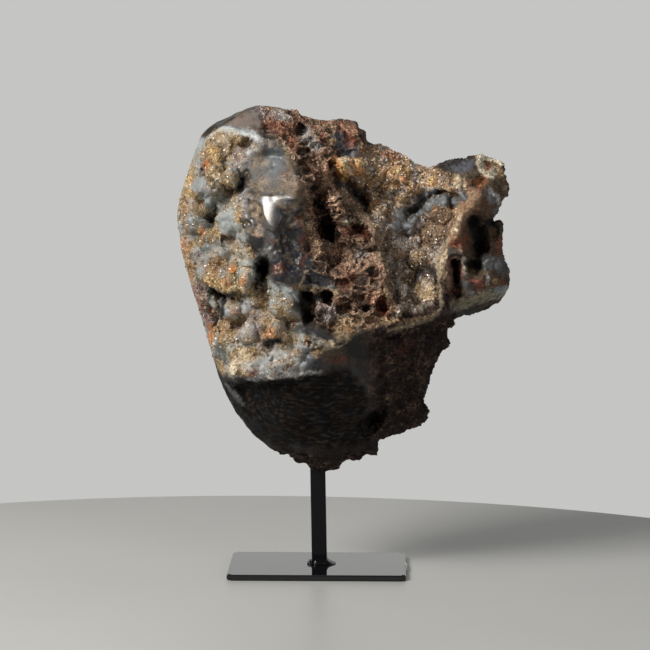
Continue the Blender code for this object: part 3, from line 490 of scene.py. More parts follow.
BOXWORK_MARKS = (
    ("blue grey", 4.5, 0.8, (-8, 289), (-4, 284), (-1, 280)),
    ("blue grey", 4, 0.8, (-27, 300), (-21, 298)),
    ("slate", 5, 0.85, (14, 285), (18, 280), (23, 276)), ("navy", 2.5, 0.6, (13, 278), (19, 276)),
    ("rust", 4, 0.7, (18, 291), (23, 289), (21, 282)),
    ("rose tan", 2.5, 0.5, (18, 292), (23, 290)), ("pit brown", 3, 0.9, (29, 287), (30, 282)),
    ("rust", 2.5, 0.7, (-16, 285), (-14, 280)), ("brick", 2.5, 0.8, (4, 285)),
    ("brick", 2, 1, (6, 267)), ("gold", 2, 0.6, (11, 283)),
    ("rust", 4.5, 0.5, (-31, 295), (-19, 291)), ("recess shade", 2.5, 1, (-10, 290)),
    ("wall", 3, 0.8, (3, 273), (5, 265), (8, 258)),
    ("wall", 3, 0.7, (4, 253), (9, 248), (14, 242)),
    ("rose tan", 1.5, 0.8, (10, 261), (11, 255), (13, 250)),
    ("rose tan", 1.5, 0.9, (12, 251), (20, 244), (26, 238), (30, 234), (35, 231), (39, 224),
     (41, 217), (43, 206), (45, 196), (47, 187), (51, 177)),
    ("cream", 1, 0.6, (30, 234), (35, 231), (39, 226), (41, 220)),
    ("recess shade", 1.5, 0.9, (20, 240), (23, 239)), ("recess shade", 1.5, 0.9, (20, 235), (23, 235)),
    ("rust", 4, 0.9, (20, 227), (27, 226), (31, 224)),
    ("pit brown", 2.5, 0.6, (23, 226), (28, 224)),
    ("cream", 1, 0.6, (18, 231), (24, 232), (29, 231)), ("recess shade", 3, 0.7, (1, 244), (8, 238)),
    ("recess shade", 2, 0.6, (-5, 255), (-1, 252)), ("recess shade", 2.5, 0.6, (13, 224), (9, 217)),
    ("wall", 5, 0.5, (15, 215), (23, 207)), ("rust", 4, 0.5, (22, 199), (18, 193)),
    ("rust", 4.5, 0.9, (37, 186), (41, 180), (43, 176)), ("pit brown", 3, 0.8, (41, 179)),
    ("wall", 1.5, 0.7, (36, 183), (38, 188), (43, 189)), ("recess shade", 1.5, 0.9, (38, 194)),
    ("recess shade", 2, 0.8, (29, 182)), ("recess shade", 2.5, 0.9, (31, 178)), ("rose tan", 3, 0.8, (26, 177)),
    ("recess shade", 1, 0.9, (26, 177)), ("rose tan", 2.5, 0.7, (14, 184), (18, 184)),
    ("recess shade", 1.5, 0.9, (21, 179)), ("blue grey", 2.5, 0.7, (26, 209)),
    ("slate", 4, 1, (-8, 195), (-2, 197), (4, 195), (8, 191)),
    ("navy", 2.5, 0.8, (-5, 198), (3, 197)), ("cream", 1, 0.9, (-6, 202), (-8, 197), (-10, 193)),
    ("tan", 1.5, 0.9, (-10, 191), (-3, 191), (4, 190), (13, 188)),
    ("recess shade", 3, 1, (-6, 186), (0, 185), (6, 185)),
    ("recess shade", 3, 0.8, (-11, 181), (-7, 175), (-2, 171)),
    ("lilac", 4, 0.8, (3, 179), (8, 180), (9, 173)), ("umber", 4, 0.6, (13, 171), (19, 169)),
    ("cream", 2.5, 0.7, (16, 173), (21, 170)), ("tan", 4, 0.7, (14, 165), (19, 160)),
    ("ochre", 2.5, 0.8, (21, 166)),
    ("tan", 1, 0.5, (11, 154), (14, 158), (19, 160), (25, 163), (31, 165), (40, 168), (47, 171),
     (54, 172)), ("cream", 1.5, 0.3, (-10, 248), (-2, 230)),
)
HOLLOW_MARKS = (
    ("gold", 4.5, 0.8, (17, 267)), ("cream", 1.5, 0.8, (13, 271), (18, 272), (24, 271)),
    ("orange", 2.5, 0.5, (19, 262), (23, 263)), ("gold", 3, 0.8, (27, 269)),
    ("orange", 3, 0.8, (28, 265)), ("recess shade", 5, 0.8, (21, 256), (25, 248), (29, 240)),
    ("recess shade", 2.5, 0.8, (15, 255), (18, 248)), ("umber", 4.5, 0.6, (35, 277), (42, 271)),
    ("rust", 2.5, 0.7, (44, 275), (51, 272)), ("ochre", 4, 0.8, (41, 263), (48, 260)),
    ("orange", 2.5, 0.7, (56, 258)), ("gold", 2.5, 0.7, (52, 264), (59, 263)),
    ("ochre", 3, 0.8, (64, 253), (59, 251)), ("gold", 2, 0.7, (70, 256), (73, 258)),
    ("ochre", 2.5, 0.7, (79, 264), (74, 262)), ("tan", 4, 0.7, (40, 237)),
    ("gold", 3, 0.5, (53, 241), (55, 246)), ("tan", 3, 0.8, (37, 247)),
    ("ochre", 2.5, 0.5, (43, 236)), ("ochre", 3, 0.6, (83, 253)),
    ("hollow brown", 7, 0.9, (74, 222), (79, 237)), ("hollow brown", 7.5, 0.7, (53, 214)),
    ("frost", 4, 0.4, (51, 219), (56, 216)), ("tan", 6, 0.6, (64, 207)),
    ("tan", 7, 0.8, (70, 187)), ("ivory", 4, 0.3, (70, 190)), ("frost", 2.5, 0.9, (56, 188)),
    ("recess shade", 2.5, 0.6, (50, 206), (49, 197), (52, 184)),
    ("recess shade", 2.5, 0.6, (64, 198), (72, 198)), ("recess shade", 2, 0.5, (60, 178), (65, 181)),
    ("umber", 3, 0.5, (55, 177), (68, 177)),
)
HORN_MARKS = (
    ("cream", 1.5, 0.85, (83, 215), (81, 208), (79, 201), (78, 194), (79, 185)),
    ("rust", 3, 0.8, (87, 220), (92, 219), (96, 220)), ("navy", 2.5, 0.9, (87, 212), (91, 212)),
    ("brick", 1, 0.9, (85, 207), (89, 208), (92, 206)),
    ("recess shade", 2.5, 1, (89, 205), (89, 198), (90, 190)),
    ("brick", 1, 0.9, (86, 201), (86, 193), (88, 187), (91, 186)),
    ("brick", 1, 0.8, (92, 204), (92, 195)), ("slate", 4.5, 1, (85, 268), (89, 267), (97, 267)),
    ("umber", 2.5, 0.6, (79, 260), (85, 263)), ("cream", 3, 0.9, (90, 258), (93, 257)),
    ("ivory", 3, 0.9, (104, 273), (109, 273), (114, 272), (119, 269)),
    ("ivory", 2.5, 0.9, (105, 268), (107, 263), (112, 262), (115, 264)),
    ("pit brown", 2, 0.8, (117, 264), (120, 260)), ("rust", 2.5, 1, (110, 266)),
    ("recess shade", 1.5, 0.9, (99, 255), (101, 257)), ("orange", 2.5, 0.7, (103, 257), (107, 258)),
    ("rust", 2, 0.7, (108, 257)), ("steel", 4, 0.9, (110, 250), (113, 247)),
    ("frost", 1, 0.8, (109, 252), (115, 249), (117, 244)),
    ("slate", 2.5, 0.7, (118, 241), (116, 237)), ("rust", 2.5, 0.7, (118, 219), (118, 211)),
    ("rust", 3, 0.9, (120, 191)), ("tan", 1.5, 0.8, (115, 193)),
)
LOWER_MARKS = (
    ("navy", 6, 0.5, (-9, 134), (9, 136), (22, 139)), ("brick", 4, 0.5, (54, 149), (60, 154)),
    ("recess shade", 4.5, 1, (35, 102), (37, 107)),
)
FINER_MARKS = (
    ("ochre", 1.5, 0.8, (-70, 288), (-64, 293), (-56, 297), (-48, 299)),
    ("pit brown", 1, 0.8, (-75, 285), (-69, 291), (-61, 296), (-52, 300)),
    ("cream", 1, 0.8, (-40, 267), (-38, 267)), ("cream", 1, 0.8, (-30, 282), (-28, 281)),
    ("orange", 1.5, 0.5, (-27, 280), (-24, 279)), ("cream", 1, 0.8, (-31, 258), (-29, 261)),
    ("cream", 1, 0.7, (-21, 257), (-19, 262)), ("cream", 1, 0.7, (-34, 269), (-31, 270)),
    ("umber", 1.5, 0.9, (-40, 273), (-38, 275)), ("gold", 1, 0.8, (-39, 272), (-37, 274)),
    ("pit brown", 0.5, 0.8, (-36, 271), (-33, 271)), ("recess shade", 0.5, 0.9, (-33, 274)),
    ("recess shade", 0.5, 0.8, (-28, 267)), ("recess shade", 1, 0.8, (-29, 264)), ("recess shade", 1, 0.9, (-18, 261)),
    ("recess shade", 1, 0.9, (-19, 252)), ("blue grey", 4, 0.8, (-27, 277), (-27, 271), (-27, 266)),
    ("pale blue", 2, 0.5, (-30, 277)), ("cream", 1, 0.8, (-40, 243)),
    ("cream", 1, 0.8, (-36, 243), (-36, 239)), ("cream", 1, 0.8, (-38, 238)),
    ("cream", 1, 0.8, (-35, 233)), ("cream", 1, 0.8, (-37, 230), (-36, 226)),
    ("recess shade", 1, 0.9, (-42, 245)), ("recess shade", 1, 0.9, (-38, 241)),
    ("recess shade", 1, 0.9, (-40, 234), (-39, 231)), ("recess shade", 0.5, 0.9, (-35, 244)),
    ("recess shade", 0.5, 0.9, (-35, 236)), ("sea grey", 4.5, 0.8, (-27, 277), (-24, 269), (-25, 262)),
    ("tan", 3, 0.6, (-38, 280), (-36, 274), (-39, 267)),
    ("rose tan", 3, 0.5, (-34, 260), (-28, 258)), ("rose tan", 4, 0.7, (-16, 261), (-11, 257)),
    ("pit brown", 2.5, 0.9, (-44, 261)), ("frost", 0.5, 0.8, (-46, 266), (-47, 261), (-45, 257)),
    ("frost", 1, 0.6, (-38, 279), (-43, 273), (-47, 266)),
    ("olive", 2.5, 1, (-73, 287), (-67, 292), (-59, 297), (-50, 300)),
    ("pale blue", 3, 0.9, (-74, 282), (-78, 277), (-79, 270)),
    ("cream", 1.5, 0.8, (-61, 284), (-56, 282)), ("brick", 1.5, 0.9, (-20, 240)),
    ("cream", 1, 0.8, (-20, 234), (-17, 235)), ("cream", 1, 0.6, (-15, 231), (-12, 232)),
    ("pit brown", 2.5, 0.7, (-25, 222), (-23, 216)), ("frost", 1, 0.8, (-14, 221), (-12, 217)),
    ("rust", 1.5, 0.7, (-8, 220), (-7, 212), (-8, 207)), ("frost", 0.5, 0.7, (-20, 212)),
    ("sea grey", 2, 0.6, (-33, 233), (-30, 229), (-26, 224)),
    ("recess shade", 1.5, 0.6, (-16, 226), (-12, 227)), ("rose tan", 4, 0.45, (15, 207), (23, 204)),
    ("tan", 1.5, 0.8, (43, 189), (45, 184)), ("rose tan", 1.5, 0.8, (38, 210), (39, 204)),
    ("blue grey", 2, 0.6, (28, 213), (32, 211)), ("tan", 2, 0.6, (0, 221), (2, 215)),
    ("tan", 3, 0.6, (19, 170), (25, 169)),
    ("tan", 1, 0.6, (30, 171), (37, 172), (45, 171), (52, 170)),
    ("tan", 1.5, 0.7, (54, 170), (63, 170), (71, 171), (76, 175)),
    ("recess shade", 1.5, 0.9, (79, 249), (85, 247), (88, 244)),
    ("recess shade", 1.5, 0.8, (60, 237), (63, 241), (66, 247)),
    ("recess shade", 2, 0.85, (73, 202), (75, 198), (77, 194)), ("recess shade", 1.5, 0.7, (56, 194)),
    ("tan", 3, 0.8, (63, 209), (67, 208)), ("ochre", 2, 0.5, (65, 210)),
    ("tan", 5, 0.7, (68, 188), (73, 186)), ("frost", 1.5, 0.9, (56, 189), (56, 184)),
    ("ridge", 5.5, 0.95, (100, 249), (97, 243), (93, 237)),
    ("ridge", 4, 0.95, (92, 237), (89, 230), (87, 223)),
    ("cream", 1, 0.6, (91, 236), (89, 230), (87, 225)), ("ivory", 1, 0.8, (89, 227)),
    ("rust", 2, 0.7, (86, 218), (90, 217)), ("rose tan", 1, 0.9, (92, 214)),
    ("cream", 0.5, 0.6, (87, 208), (90, 208), (92, 207)),
    ("rose tan", 1, 0.7, (84, 206), (83, 198), (85, 191)), ("ash", 1.5, 0.7, (94, 208), (95, 198)),
    ("cream", 1, 0.9, (95, 201)), ("pit brown", 3, 0.9, (107, 226), (112, 217), (111, 209)),
    ("recess shade", 4, 1, (100, 232), (104, 220), (105, 210)), ("recess shade", 2.5, 1, (109, 231), (116, 228)),
    ("umber", 0.5, 0.8, (107, 227), (109, 221)),
    ("slate", 4.5, 0.9, (107, 205), (114, 205), (120, 201)),
    ("blue grey", 2.5, 0.8, (109, 206), (114, 205), (118, 202)),
    ("frost", 0.5, 0.6, (107, 206), (113, 207)), ("frost", 0.5, 0.6, (110, 197), (109, 192)),
    ("recess shade", 3, 0.9, (98, 204), (103, 202)), ("brick", 2, 0.9, (99, 194), (105, 192)),
    ("slate", 2, 0.8, (95, 193), (98, 188)),
    ("lip", 4.5, 1, (90, 178), (102, 181), (113, 185), (121, 186)),
    ("sea grey", 2.5, 0.7, (116, 187), (121, 187)), ("tan", 1, 0.5, (94, 182), (104, 184)),
    ("tan", 3, 0.6, (114, 267), (118, 262), (120, 254)),
    ("ivory", 1.5, 0.8, (105, 272), (110, 273), (116, 270)),
    ("pit brown", 1.5, 0.8, (117, 259), (120, 252)),
    ("cream", 0.5, 0.8, (9, 159), (12, 155), (16, 154), (19, 157), (21, 161)),
    ("tan", 2, 0.5, (-10, 236), (-6, 230), (-4, 223)), ("pit brown", 2, 0.6, (-8, 244), (-5, 239)),
    ("rust", 1.5, 0.6, (-12, 236), (-9, 233)), ("recess shade", 1.5, 0.6, (-16, 229), (-14, 224)),
    ("tan", 1.5, 0.5, (-18, 214), (-16, 208)), ("pit brown", 2, 0.6, (-12, 208), (-9, 202)),
    ("rose tan", 1.7, 0.85, (16, 252), (22, 244), (27, 239), (32, 234), (36, 228), (40, 220),
     (43, 210), (46, 198), (48, 187)), ("amber", 3, 0.9, (13, 271), (15, 266), (18, 260)),
    ("amber", 2.5, 0.8, (23, 270), (26, 266), (28, 262)),
    ("rim cream", 1, 0.9, (84, 221), (80, 213), (77, 206), (78, 198), (79, 188), (80, 180),
     (77, 173), (71, 169), (63, 167), (54, 166), (46, 164)),
    ("pale blue", 0.5, 0.9, (-34, 280), (-39, 274), (-44, 268), (-47, 263), (-47, 257), (-43, 253),
     (-41, 249)), ("pit brown", 1.5, 0.75, (-44, 265), (-43, 259)),
    ("ochre", 2.5, 0.6, (-55, 221), (-50, 219)), ("ochre", 1.5, 0.5, (-51, 217), (-48, 214)),
    ("shade", 1, 0.7, (-45, 258), (-49, 254), (-54, 249), (-60, 245), (-66, 242), (-68, 236),
     # Next, a thin white line along the lower left edge of the body: a painted highlight.
     (-70, 228)), ("white band", 1.5, 0.85, (-58, 124), (-55, 121), (-52, 116), (-49, 113)),
    ("slate", 2.5, 0.85, (-23, 241), (-19, 237), (-22, 232)),
    ("umber", 3, 0.7, (2, 152), (9, 151), (17, 152)),
    ("navy", 3, 0.7, (-8, 149), (-2, 145), (6, 148)),
    ("pit brown", 2.5, 0.6, (9, 138), (17, 142), (23, 144)),
    ("recess shade", 2.5, 0.6, (19, 156), (24, 151)), ("cream", 1, 0.6, (2, 160), (4, 157)),
    ("shade", 3, 0.85, (79, 265), (88, 270), (100, 272)),
    ("slate", 1.5, 0.45, (93, 267), (98, 268)),
    ("olive", 1.5, 0.8, (-72, 294), (-64, 301), (-55, 305), (-44, 309)),
    ("slate", 0.5, 0.7, (-72, 292), (-61, 294), (-49, 291), (-39, 289)),
    ("tan", 2, 0.45, (-51, 299), (-45, 301)),
    ("lilac", 2, 0.6, (-39, 301), (-36, 305), (-35, 298)),
    ("pale blue", 2, 0.8, (-40, 143), (-31, 147), (-21, 151), (-9, 157)),
    ("cream", 2.5, 0.9, (-44, 151), (-48, 145), (-53, 139)),
    ("ochre", 1.5, 0.7, (-43, 153), (-41, 150)),
    ("frost", 0.5, 0.9, (-34, 135), (-22, 137), (-12, 138), (-2, 139)),
    ("slate", 2.5, 0.7, (-7, 153), (-2, 148), (-4, 143)),
    ("umber", 2.5, 0.6, (4, 156), (11, 151), (8, 145)), ("tan", 1, 0.5, (6, 159), (10, 155)),
    ("umber", 3, 0.6, (105, 227), (110, 220), (113, 212)),
    ("recess shade", 2, 0.7, (98, 232), (105, 223), (110, 227)),
    ("shade", 2.5, 0.5, (107, 206), (115, 207), (122, 201)),
    ("tan", 3, 0.6, (-45, 166), (-41, 159)), ("frost", 1.5, 0.5, (-47, 164), (-44, 168)),
    ("slate", 2, 0.9, (-25, 241), (-24, 234)),
    ("shade", 0.6, 0.7, (-42, 251), (-30, 250.5), (-18, 250.5)),
    ("rose tan", 2, 0.5, (-14, 258), (-10, 254)),
)
MARKINGS = (
    CROWN_MARKS + DRUSE_MARKS + SHOULDER_MARKS + BOXWORK_MARKS + HOLLOW_MARKS
    + HORN_MARKS + LOWER_MARKS + FINER_MARKS
)

# Random fields that the colours follow: an area, a seed, and the distances and heights of swells.
FIELDS = {
    "broad": ("all", 13, (9, 1.0), (4, 0.8)),
    "patches": ("druse", 33, (13, 1.5), (5, 0.8)),
    "fine": ("all", 19, (2.0, 1.0), (1.1, 0.8)),
    "grain": ("all", 29, (1.7, 1.1), (0.9, 0.9)),
}
# Where the hollow turns warm, as a height and the distance that it takes.
HOLLOW_WARM = (240, 26)
# Veils of colour over an area, in the order in which they are laid: the colour, its brightness,
# the most that it covers, its share where the fields are 0, and how it follows each field.
GROUND = (
    ("all", (("umber", 0.6, 0.6, 0, {"broad": 1.5}),)),
    ("right", (
        ("rough", 1, 1, 1, {}),
        ("wall", 1, 0.6, -0.1, {"broad": 1.3, "grain": 1}),
        # Painted shade in the pits of the cells.
        ("recess shade", 1, 1, 0, {"pits": 0.9}),
    )),
)
# Coats that hide the ground: an area, the coat's first colour and brightness, and its veils.
COATS = (
    ("druse", "pale blue", 1, (
        ("tan", 1, 1, 0.55, {"patches": 1.6}),
        ("umber", 1, 0.6, -0.25, {"broad": -1.3}),
        ("orange", 1, 0.7, -1.35, {"fine": 1.6, "broad": 1.6}),
        ("frost", 1, 0.7, -1.25, {"fine": 1.6, "broad": -1.6}),
    )),
    ("boxwork", "umber", 1.25, (
        ("rust", 1, 0.85, 0.25, {"broad": 1.4, "fine": 0.9}),
        ("wall", 1, 1, 0, {"walls": 1.6, "fine": 0.6}),
        # The cells' pits: their own dark brown, deepened by painted shade.
        ("pit", 1, 0.85, -0.12, {"pits": 0.9, "fine": 0.4}),
    )),
    ("hollow", "hollow brown", 1, (
        ("ochre", 1, 0.7, 0, {"height": 1, "broad": 1}),
        ("ash", 1, 0.6, 0.15, {"broad": -1.4}),
        ("frost", 1, 0.6, -0.5, {"fine": 1.7}),
    )),
    ("horn", "umber", 1, (
        ("rust", 0.6, 0.8, 0.2, {"broad": 1.6, "fine": 1}),
        ("hollow brown", 1, 0.8, -0.6, {"grain": 2.4}),
        # Painted shade in the horn's pits.
        ("recess shade", 1, 0.85, -0.1, {"pits": 0.9, "fine": 0.5}),
    )),
    ("body", "body", 1, (
        ("navy", 1, 0.7, 0, {"broad": 1.6}),
        ("pit brown", 1, 0.8, 0.1, {"broad": -1.5, "fine": 0.6}),
    )),
)
# Veils of the polished areas.
GLOSSY = (
    ("gloss", (
        ("navy", 1, 1, 1, {}),
        ("tan", 1, 0.8, -1, {"grain": 2.2}),
        ("rust", 1, 0.6, -0.5, {"broad": 1.8}),
    )),
    ("crown", (
        ("rose grey", 1, 0.9, 0.7, {"grain": 0.8}),
        ("ochre", 0.5, 0.6, 0, {"broad": 1.5}),
    )),
    ("facet", (
        ("ash", 1, 1, 1, {}),
        ("tan", 0.8, 0.9, 0.6, {"broad": 1.4, "fine": 1}),
    )),
)
# Veils over the markings: flecks on the polished areas, and the pale rim.
FLECKS = (
    ("flecked", (
        ("pit brown", 1, 0.85, -1.5, {"grain": 3.2}),
        ("cream", 1, 0.6, -1.9, {"grain": -3.2}),
    )),
)
RIM_VEIL = (("rim", (("rim cream", 1, 0.85, 0.55, {"grain": 1}),)),)

# Markings reach this far past their width, fade this steeply and fray this much.
MARK_EDGE = 0.5
MARK_STEEPNESS = 1.7
MARK_FRAY = 0.5
# How much of a mottled marking is left: in the middle, by the grain, and at least.
MOTTLE_SHARE = 0.75
MOTTLE_GRAIN = 1.4
LEAST_MOTTLE = 0.25
# Markings in these colours are broken up by the grain, shine like satin, or bear no crystals.
MOTTLED = (
    "cream", "orange", "gold", "rust", "brick", "ochre", "tan", "pale blue", "blue grey", "lilac",
    "frost", "rose tan", "ridge", "lip", "umber", "navy", "shade", "pit brown",
)
SATIN = (
    "white band", "pale blue", "steel", "slate", "navy", "lip", "olive", "blue grey", "sea grey",
    "amber", "rim cream",
)
BARE = (
    "ridge", "rim cream", "lip", "amber", "umber", "shade", "recess shade", "pit brown", "slate", "cream",
    "pale blue",
)
# How much brighter or darker each area is than its colours, and how polished and how waxy it is.
BRIGHTNESS = {
    "boxwork": 2.5, "hollow": 1.4, "facet": 0.52, "body": 0.24, "horn": 1.2, "crown": 0.6,
    "gloss": 0.66,
}
POLISH = {"facet": 0.35, "glint": 1, "gloss": 0.7, "crown": 0.5, "body": 0.3}
WAX = {"facet": 0.15, "gloss": 0.25, "crown": 0.8, "glint": 1}
# How strongly the fine field varies the brightness.
FINE_CONTRAST = 0.28
# The brightness of the smooth balls' steel grey: least, then painted light that brightens each
# ball's top over its edge, and random tone by the fine field.
STEEL_LEAST, STEEL_TOP_LIGHT, STEEL_FINE = 0.45, 0.2, 0.4
# Crystals grow with the colour's warmth, but hardly on satin and bare markings.
GROWN_RISE, GROWN_START, GROWN_LEAST = 2.6, 0.1, 0.1
BARE_SHARE = 0.9
# The polish and wax of satin and bare markings and of the balls, and of cold druse colours.
SATIN_POLISH, BALL_POLISH = 0.5, 0.35
SATIN_WAX, BARE_WAX, COLD_RISE = 0.8, 0.6, 3
# How dull the lower body and the rough right side are.
BODY_DULL, RIGHT_DULL = 0.85, 0.5
# The darkest and the brightest that a colour may be.
STONE_TINTS = (0.002, 0.95)
CRYSTAL_TINTS = (0.003, 0.9)
# The size of the pores, and of the facets that the sugar glitters with.
PORE_SIZE = 2.4 * MM
SUGAR_SIZE = 1.1 * MM

# How strongly the brightness varies from one crystal to the next, on the face and in the hollow.
DRUSE_SPARKLE = 0.38
HOLLOW_SPARKLE = 0.75
# How far crystals lean, how much their widths vary, the widest as a share of the middling one,
# and the least and greatest height as a share of the width.
CRYSTAL_LEAN = 0.42
WIDTH_SPREAD = 0.28
WIDEST = 1.7
HEIGHTS = (0.8, 1.5)
# Their middling light, and how their warmth varies and shifts red, green and blue.
LIGHT_MIDDLE = 0.05
WARMTH_SPREAD = 0.05
WARMER = (1.0, 0.1, -1.2)

# Crystals: how many places are tried for each that there is room for, the least mark and the
# least density that they grow on, and how far a place may be turned to the back.
TRIES = 3
LEAST_MARK = 0.05
LEAST_DENSITY = 0.08
BACK_TURNED = 0.2

# Bands of the polished back: a share of the way to where they repeat, and a screen colour.
BACK_BANDS = (
    (0.0, (38, 34, 34)), (0.22, (60, 56, 58)), (0.34, (92, 96, 102)), (0.42, (150, 148, 146)),
    (0.47, (84, 86, 92)), (0.68, (58, 52, 46)), (0.84, (84, 60, 34)), (1.0, (38, 34, 34)),
)

# Beads of the weld round the post's foot: x, y, z and radius.
WELD_BEADS = (
    (-1.6, -5.0, 4.4, 1.3), (-1.2, -4.5, 6.0, 0.9), (1.6, -4.9, 4.3, 1.1), (4.4, -4.7, 4.3, 1.2),
    (-4.0, -4.2, 4.3, 1.2), (-5.4, -1.6, 4.5, 1.6), (-5.2, 1.4, 4.5, 1.4), (-4.8, 4.2, 4.5, 1.5),
    (7.0, -2.6, 4.5, 1.5), (7.8, 0.4, 4.5, 1.6), (7.0, 3.6, 4.5, 1.4), (-1.8, 6.2, 4.5, 1.5),
    (1.2, 6.4, 4.6, 1.4), (4.2, 6.0, 4.5, 1.5),
)
# The size of the cells that the beads are remeshed in.
BEAD_VOXEL = 0.3 * MM
# The painted pieces: the size of their worn places and the strength of their clear coat.
PAINTED = (("base_plate", 30 * MM, 1.0), ("post", 20 * MM, 0.0))
WELD_WEAR = 8 * MM

# The stage: the floor, the lights (place, aim, size, colour), the backdrop and the camera.
FLOOR_THICKNESS = 0.02
FLOOR_MIDDLE = -0.052
FLOOR_BACK = 0.278
KEY_LIGHT = (-0.85, -0.75, 1.0), (0, 0, 0.2), 0.55, (1.0, 0.98, 0.95)
FILL_LIGHT = (0.9, -0.9, 0.5), (0, 0, 0.18), 0.7, (1, 1, 1)
BACKDROP = (0.56, 0.56, 0.55)
CAMERA_PLACE = (0.0433, -1.5994, 0.3343)
CAMERA_DOWN = math.radians(6.136)
CAMERA_TURN = math.radians(1.378)


def screen(red, green, blue):
    """A screen colour of 0 to 255 as the linear values that a shader takes."""
    values = np.array((red, green, blue), float) / 255
    return np.where(values <= 0.04045, values / 12.92, ((values + 0.055) / 1.055) ** 2.4)


class StoneSettings(bpy.types.PropertyGroup):
    voxel: FloatProperty(
        name="Voxel", description="Size of the cells that the stone is remeshed in",
        default=0.82 * MM, min=0.5 * MM, unit="LENGTH",
    )
    relief: FloatProperty(
        name="Relief", description="Strength of the fine relief, as a share", default=1.0,
        min=0.0, max=2.0, subtype="FACTOR",
    )


class CrystalSettings(bpy.types.PropertyGroup):
    spacing: FloatProperty(
        name="Spacing", description="Distance between the crystals of the druse face",
        default=1.28 * MM, min=0.5 * MM, unit="LENGTH",
    )
    hollow_spacing: FloatProperty(
        name="Hollow Spacing", description="Distance between the crystals in the hollow",
        default=1.2 * MM, min=0.5 * MM, unit="LENGTH",
    )
    radius: FloatProperty(
        name="Radius", description="Half the width of a middling crystal", default=0.62 * MM,
        min=0.1 * MM, unit="LENGTH",
    )
    seed: IntProperty(name="Seed", description="Number that the scatter starts from", default=5)


class StandSettings(bpy.types.PropertyGroup):
    paint: FloatVectorProperty(
        name="Paint", description="Colour of the gloss paint", subtype="COLOR", size=3,
        default=(0.006, 0.006, 0.007), min=0.0, max=1.0,
    )
    gloss: FloatProperty(
        name="Gloss", description="Roughness of the paint", default=0.035, min=0.0, max=1.0,
        subtype="FACTOR",
    )


class StageSettings(bpy.types.PropertyGroup):
    floor_radius: FloatProperty(
        name="Floor Radius", description="Half the width of the round floor", default=0.54,
        min=0.2, unit="LENGTH",
    )
    floor_colour: FloatVectorProperty(
        name="Floor Colour", description="Colour of the pale floor", subtype="COLOR", size=3,
        default=(0.52, 0.52, 0.50), min=0.0, max=1.0,
    )
    key_power: FloatProperty(
        name="Key Power", description="Power of the main light", default=23, min=0.0, unit="POWER",
    )
    fill_power: FloatProperty(
        name="Fill Power", description="Power of the weak light from the right", default=3,
        min=0.0, unit="POWER",
    )
    lens: FloatProperty(
        name="Lens", description="Focal length of the camera", default=136.4, min=10.0,
        subtype="DISTANCE_CAMERA",
    )


def add_primitive(name, add, **values):
    """The object that one of Blender's primitive operators makes, selected alone."""
    bpy.ops.object.select_all(action="DESELECT")
    add(**values)
    obj = bpy.context.active_object
    obj.name = name
    obj.data.name = name
    return obj


def apply_modifier(obj, kind, **values):
    """Adds a modifier with these values and works it into the mesh."""
    modifier = obj.modifiers.new(kind.lower(), kind)
    for key, value in values.items():
        setattr(modifier, key, value)
    bpy.context.view_layer.objects.active = obj
    bpy.ops.object.modifier_apply(modifier=modifier.name)


def points_of(mesh):
    points = np.empty(len(mesh.vertices) * 3, np.float32)
    mesh.vertices.foreach_get("co", points)
    return points.reshape(-1, 3).astype(np.float64)


def normals_of(mesh):
    normals = np.empty(len(mesh.vertices) * 3, np.float32)
    mesh.vertices.foreach_get("normal", normals)
    return normals.reshape(-1, 3).astype(np.float64)


def set_points(mesh, points):
    mesh.vertices.foreach_set("co", points.astype(np.float32).ravel())
    mesh.update()


def set_values(mesh, name, values):
    """Keeps one number, or one colour, at each point of the mesh."""
    if values.ndim == 1:
        layer = mesh.attributes.new(name, "FLOAT", "POINT")
        layer.data.foreach_set("value", values.astype(np.float32))
    else:
        layer = mesh.attributes.new(name, "FLOAT_COLOR", "POINT")
        full = np.concatenate([values, np.ones((len(values), 1))], 1)
        layer.data.foreach_set("color", full.astype(np.float32).ravel())


def get_values(mesh, name):
    layer = mesh.attributes[name]
    if layer.data_type == "FLOAT":
        values = np.empty(len(layer.data), np.float32)
        layer.data.foreach_get("value", values)
        return values.astype(np.float64)
    values = np.empty(len(layer.data) * 4, np.float32)
    layer.data.foreach_get("color", values)
    return values.reshape(-1, 4)[:, :3].astype(np.float64)


def smooth_loop(corners, steps=8):
    """A smooth closed curve through the corners, as points."""
    middle = np.array(corners, float)
    before, after = np.roll(middle, 1, 0), np.roll(middle, -1, 0)
    second = np.roll(middle, -2, 0)
    share = (np.arange(steps) / steps)[None, :, None]
    before, middle, after, second = (part[:, None] for part in (before, middle, after, second))
    curve = 0.5 * (
        2 * middle
        + (after - before) * share
        + (2 * before - 5 * middle + 4 * after - second) * share**2
        + (3 * middle - before - 3 * after + second) * share**3
    )
    return curve.reshape(-1, 2)


def outline_reach(angles):
    """How far the outline is from the stone's middle in each direction."""
    loop = smooth_loop(OUTLINE) - STONE_MIDDLE
    turns = np.arctan2(loop[:, 1], loop[:, 0])
    order = np.argsort(turns)
    return np.interp(angles, turns[order], np.hypot(*loop[order].T), period=2 * math.pi)


def share_of_reach(places):
    """0 at the stone's middle and 1 on its outline."""
    apart = places - STONE_MIDDLE
    reach = outline_reach(np.arctan2(apart[:, 1], apart[:, 0]))
    return np.hypot(*apart.T) / reach


def eased_share(places):
    """The same share, with the outline's small notches eased away from its edge."""
    apart = places - STONE_MIDDLE
    angles = np.arctan2(apart[:, 1], apart[:, 0])
    exact = share_of_reach(places)
    around = angles[:, None] + NOTCH_TURNS
    eased = np.hypot(*apart.T) / outline_reach(around).mean(1)
    return eased + (exact - eased) * exact.clip(0, 1) ** 10


def rounding(share):
    """How the depth falls away to nothing at the outline."""
    return np.sqrt(np.clip(1 - share**4, 0, 1))


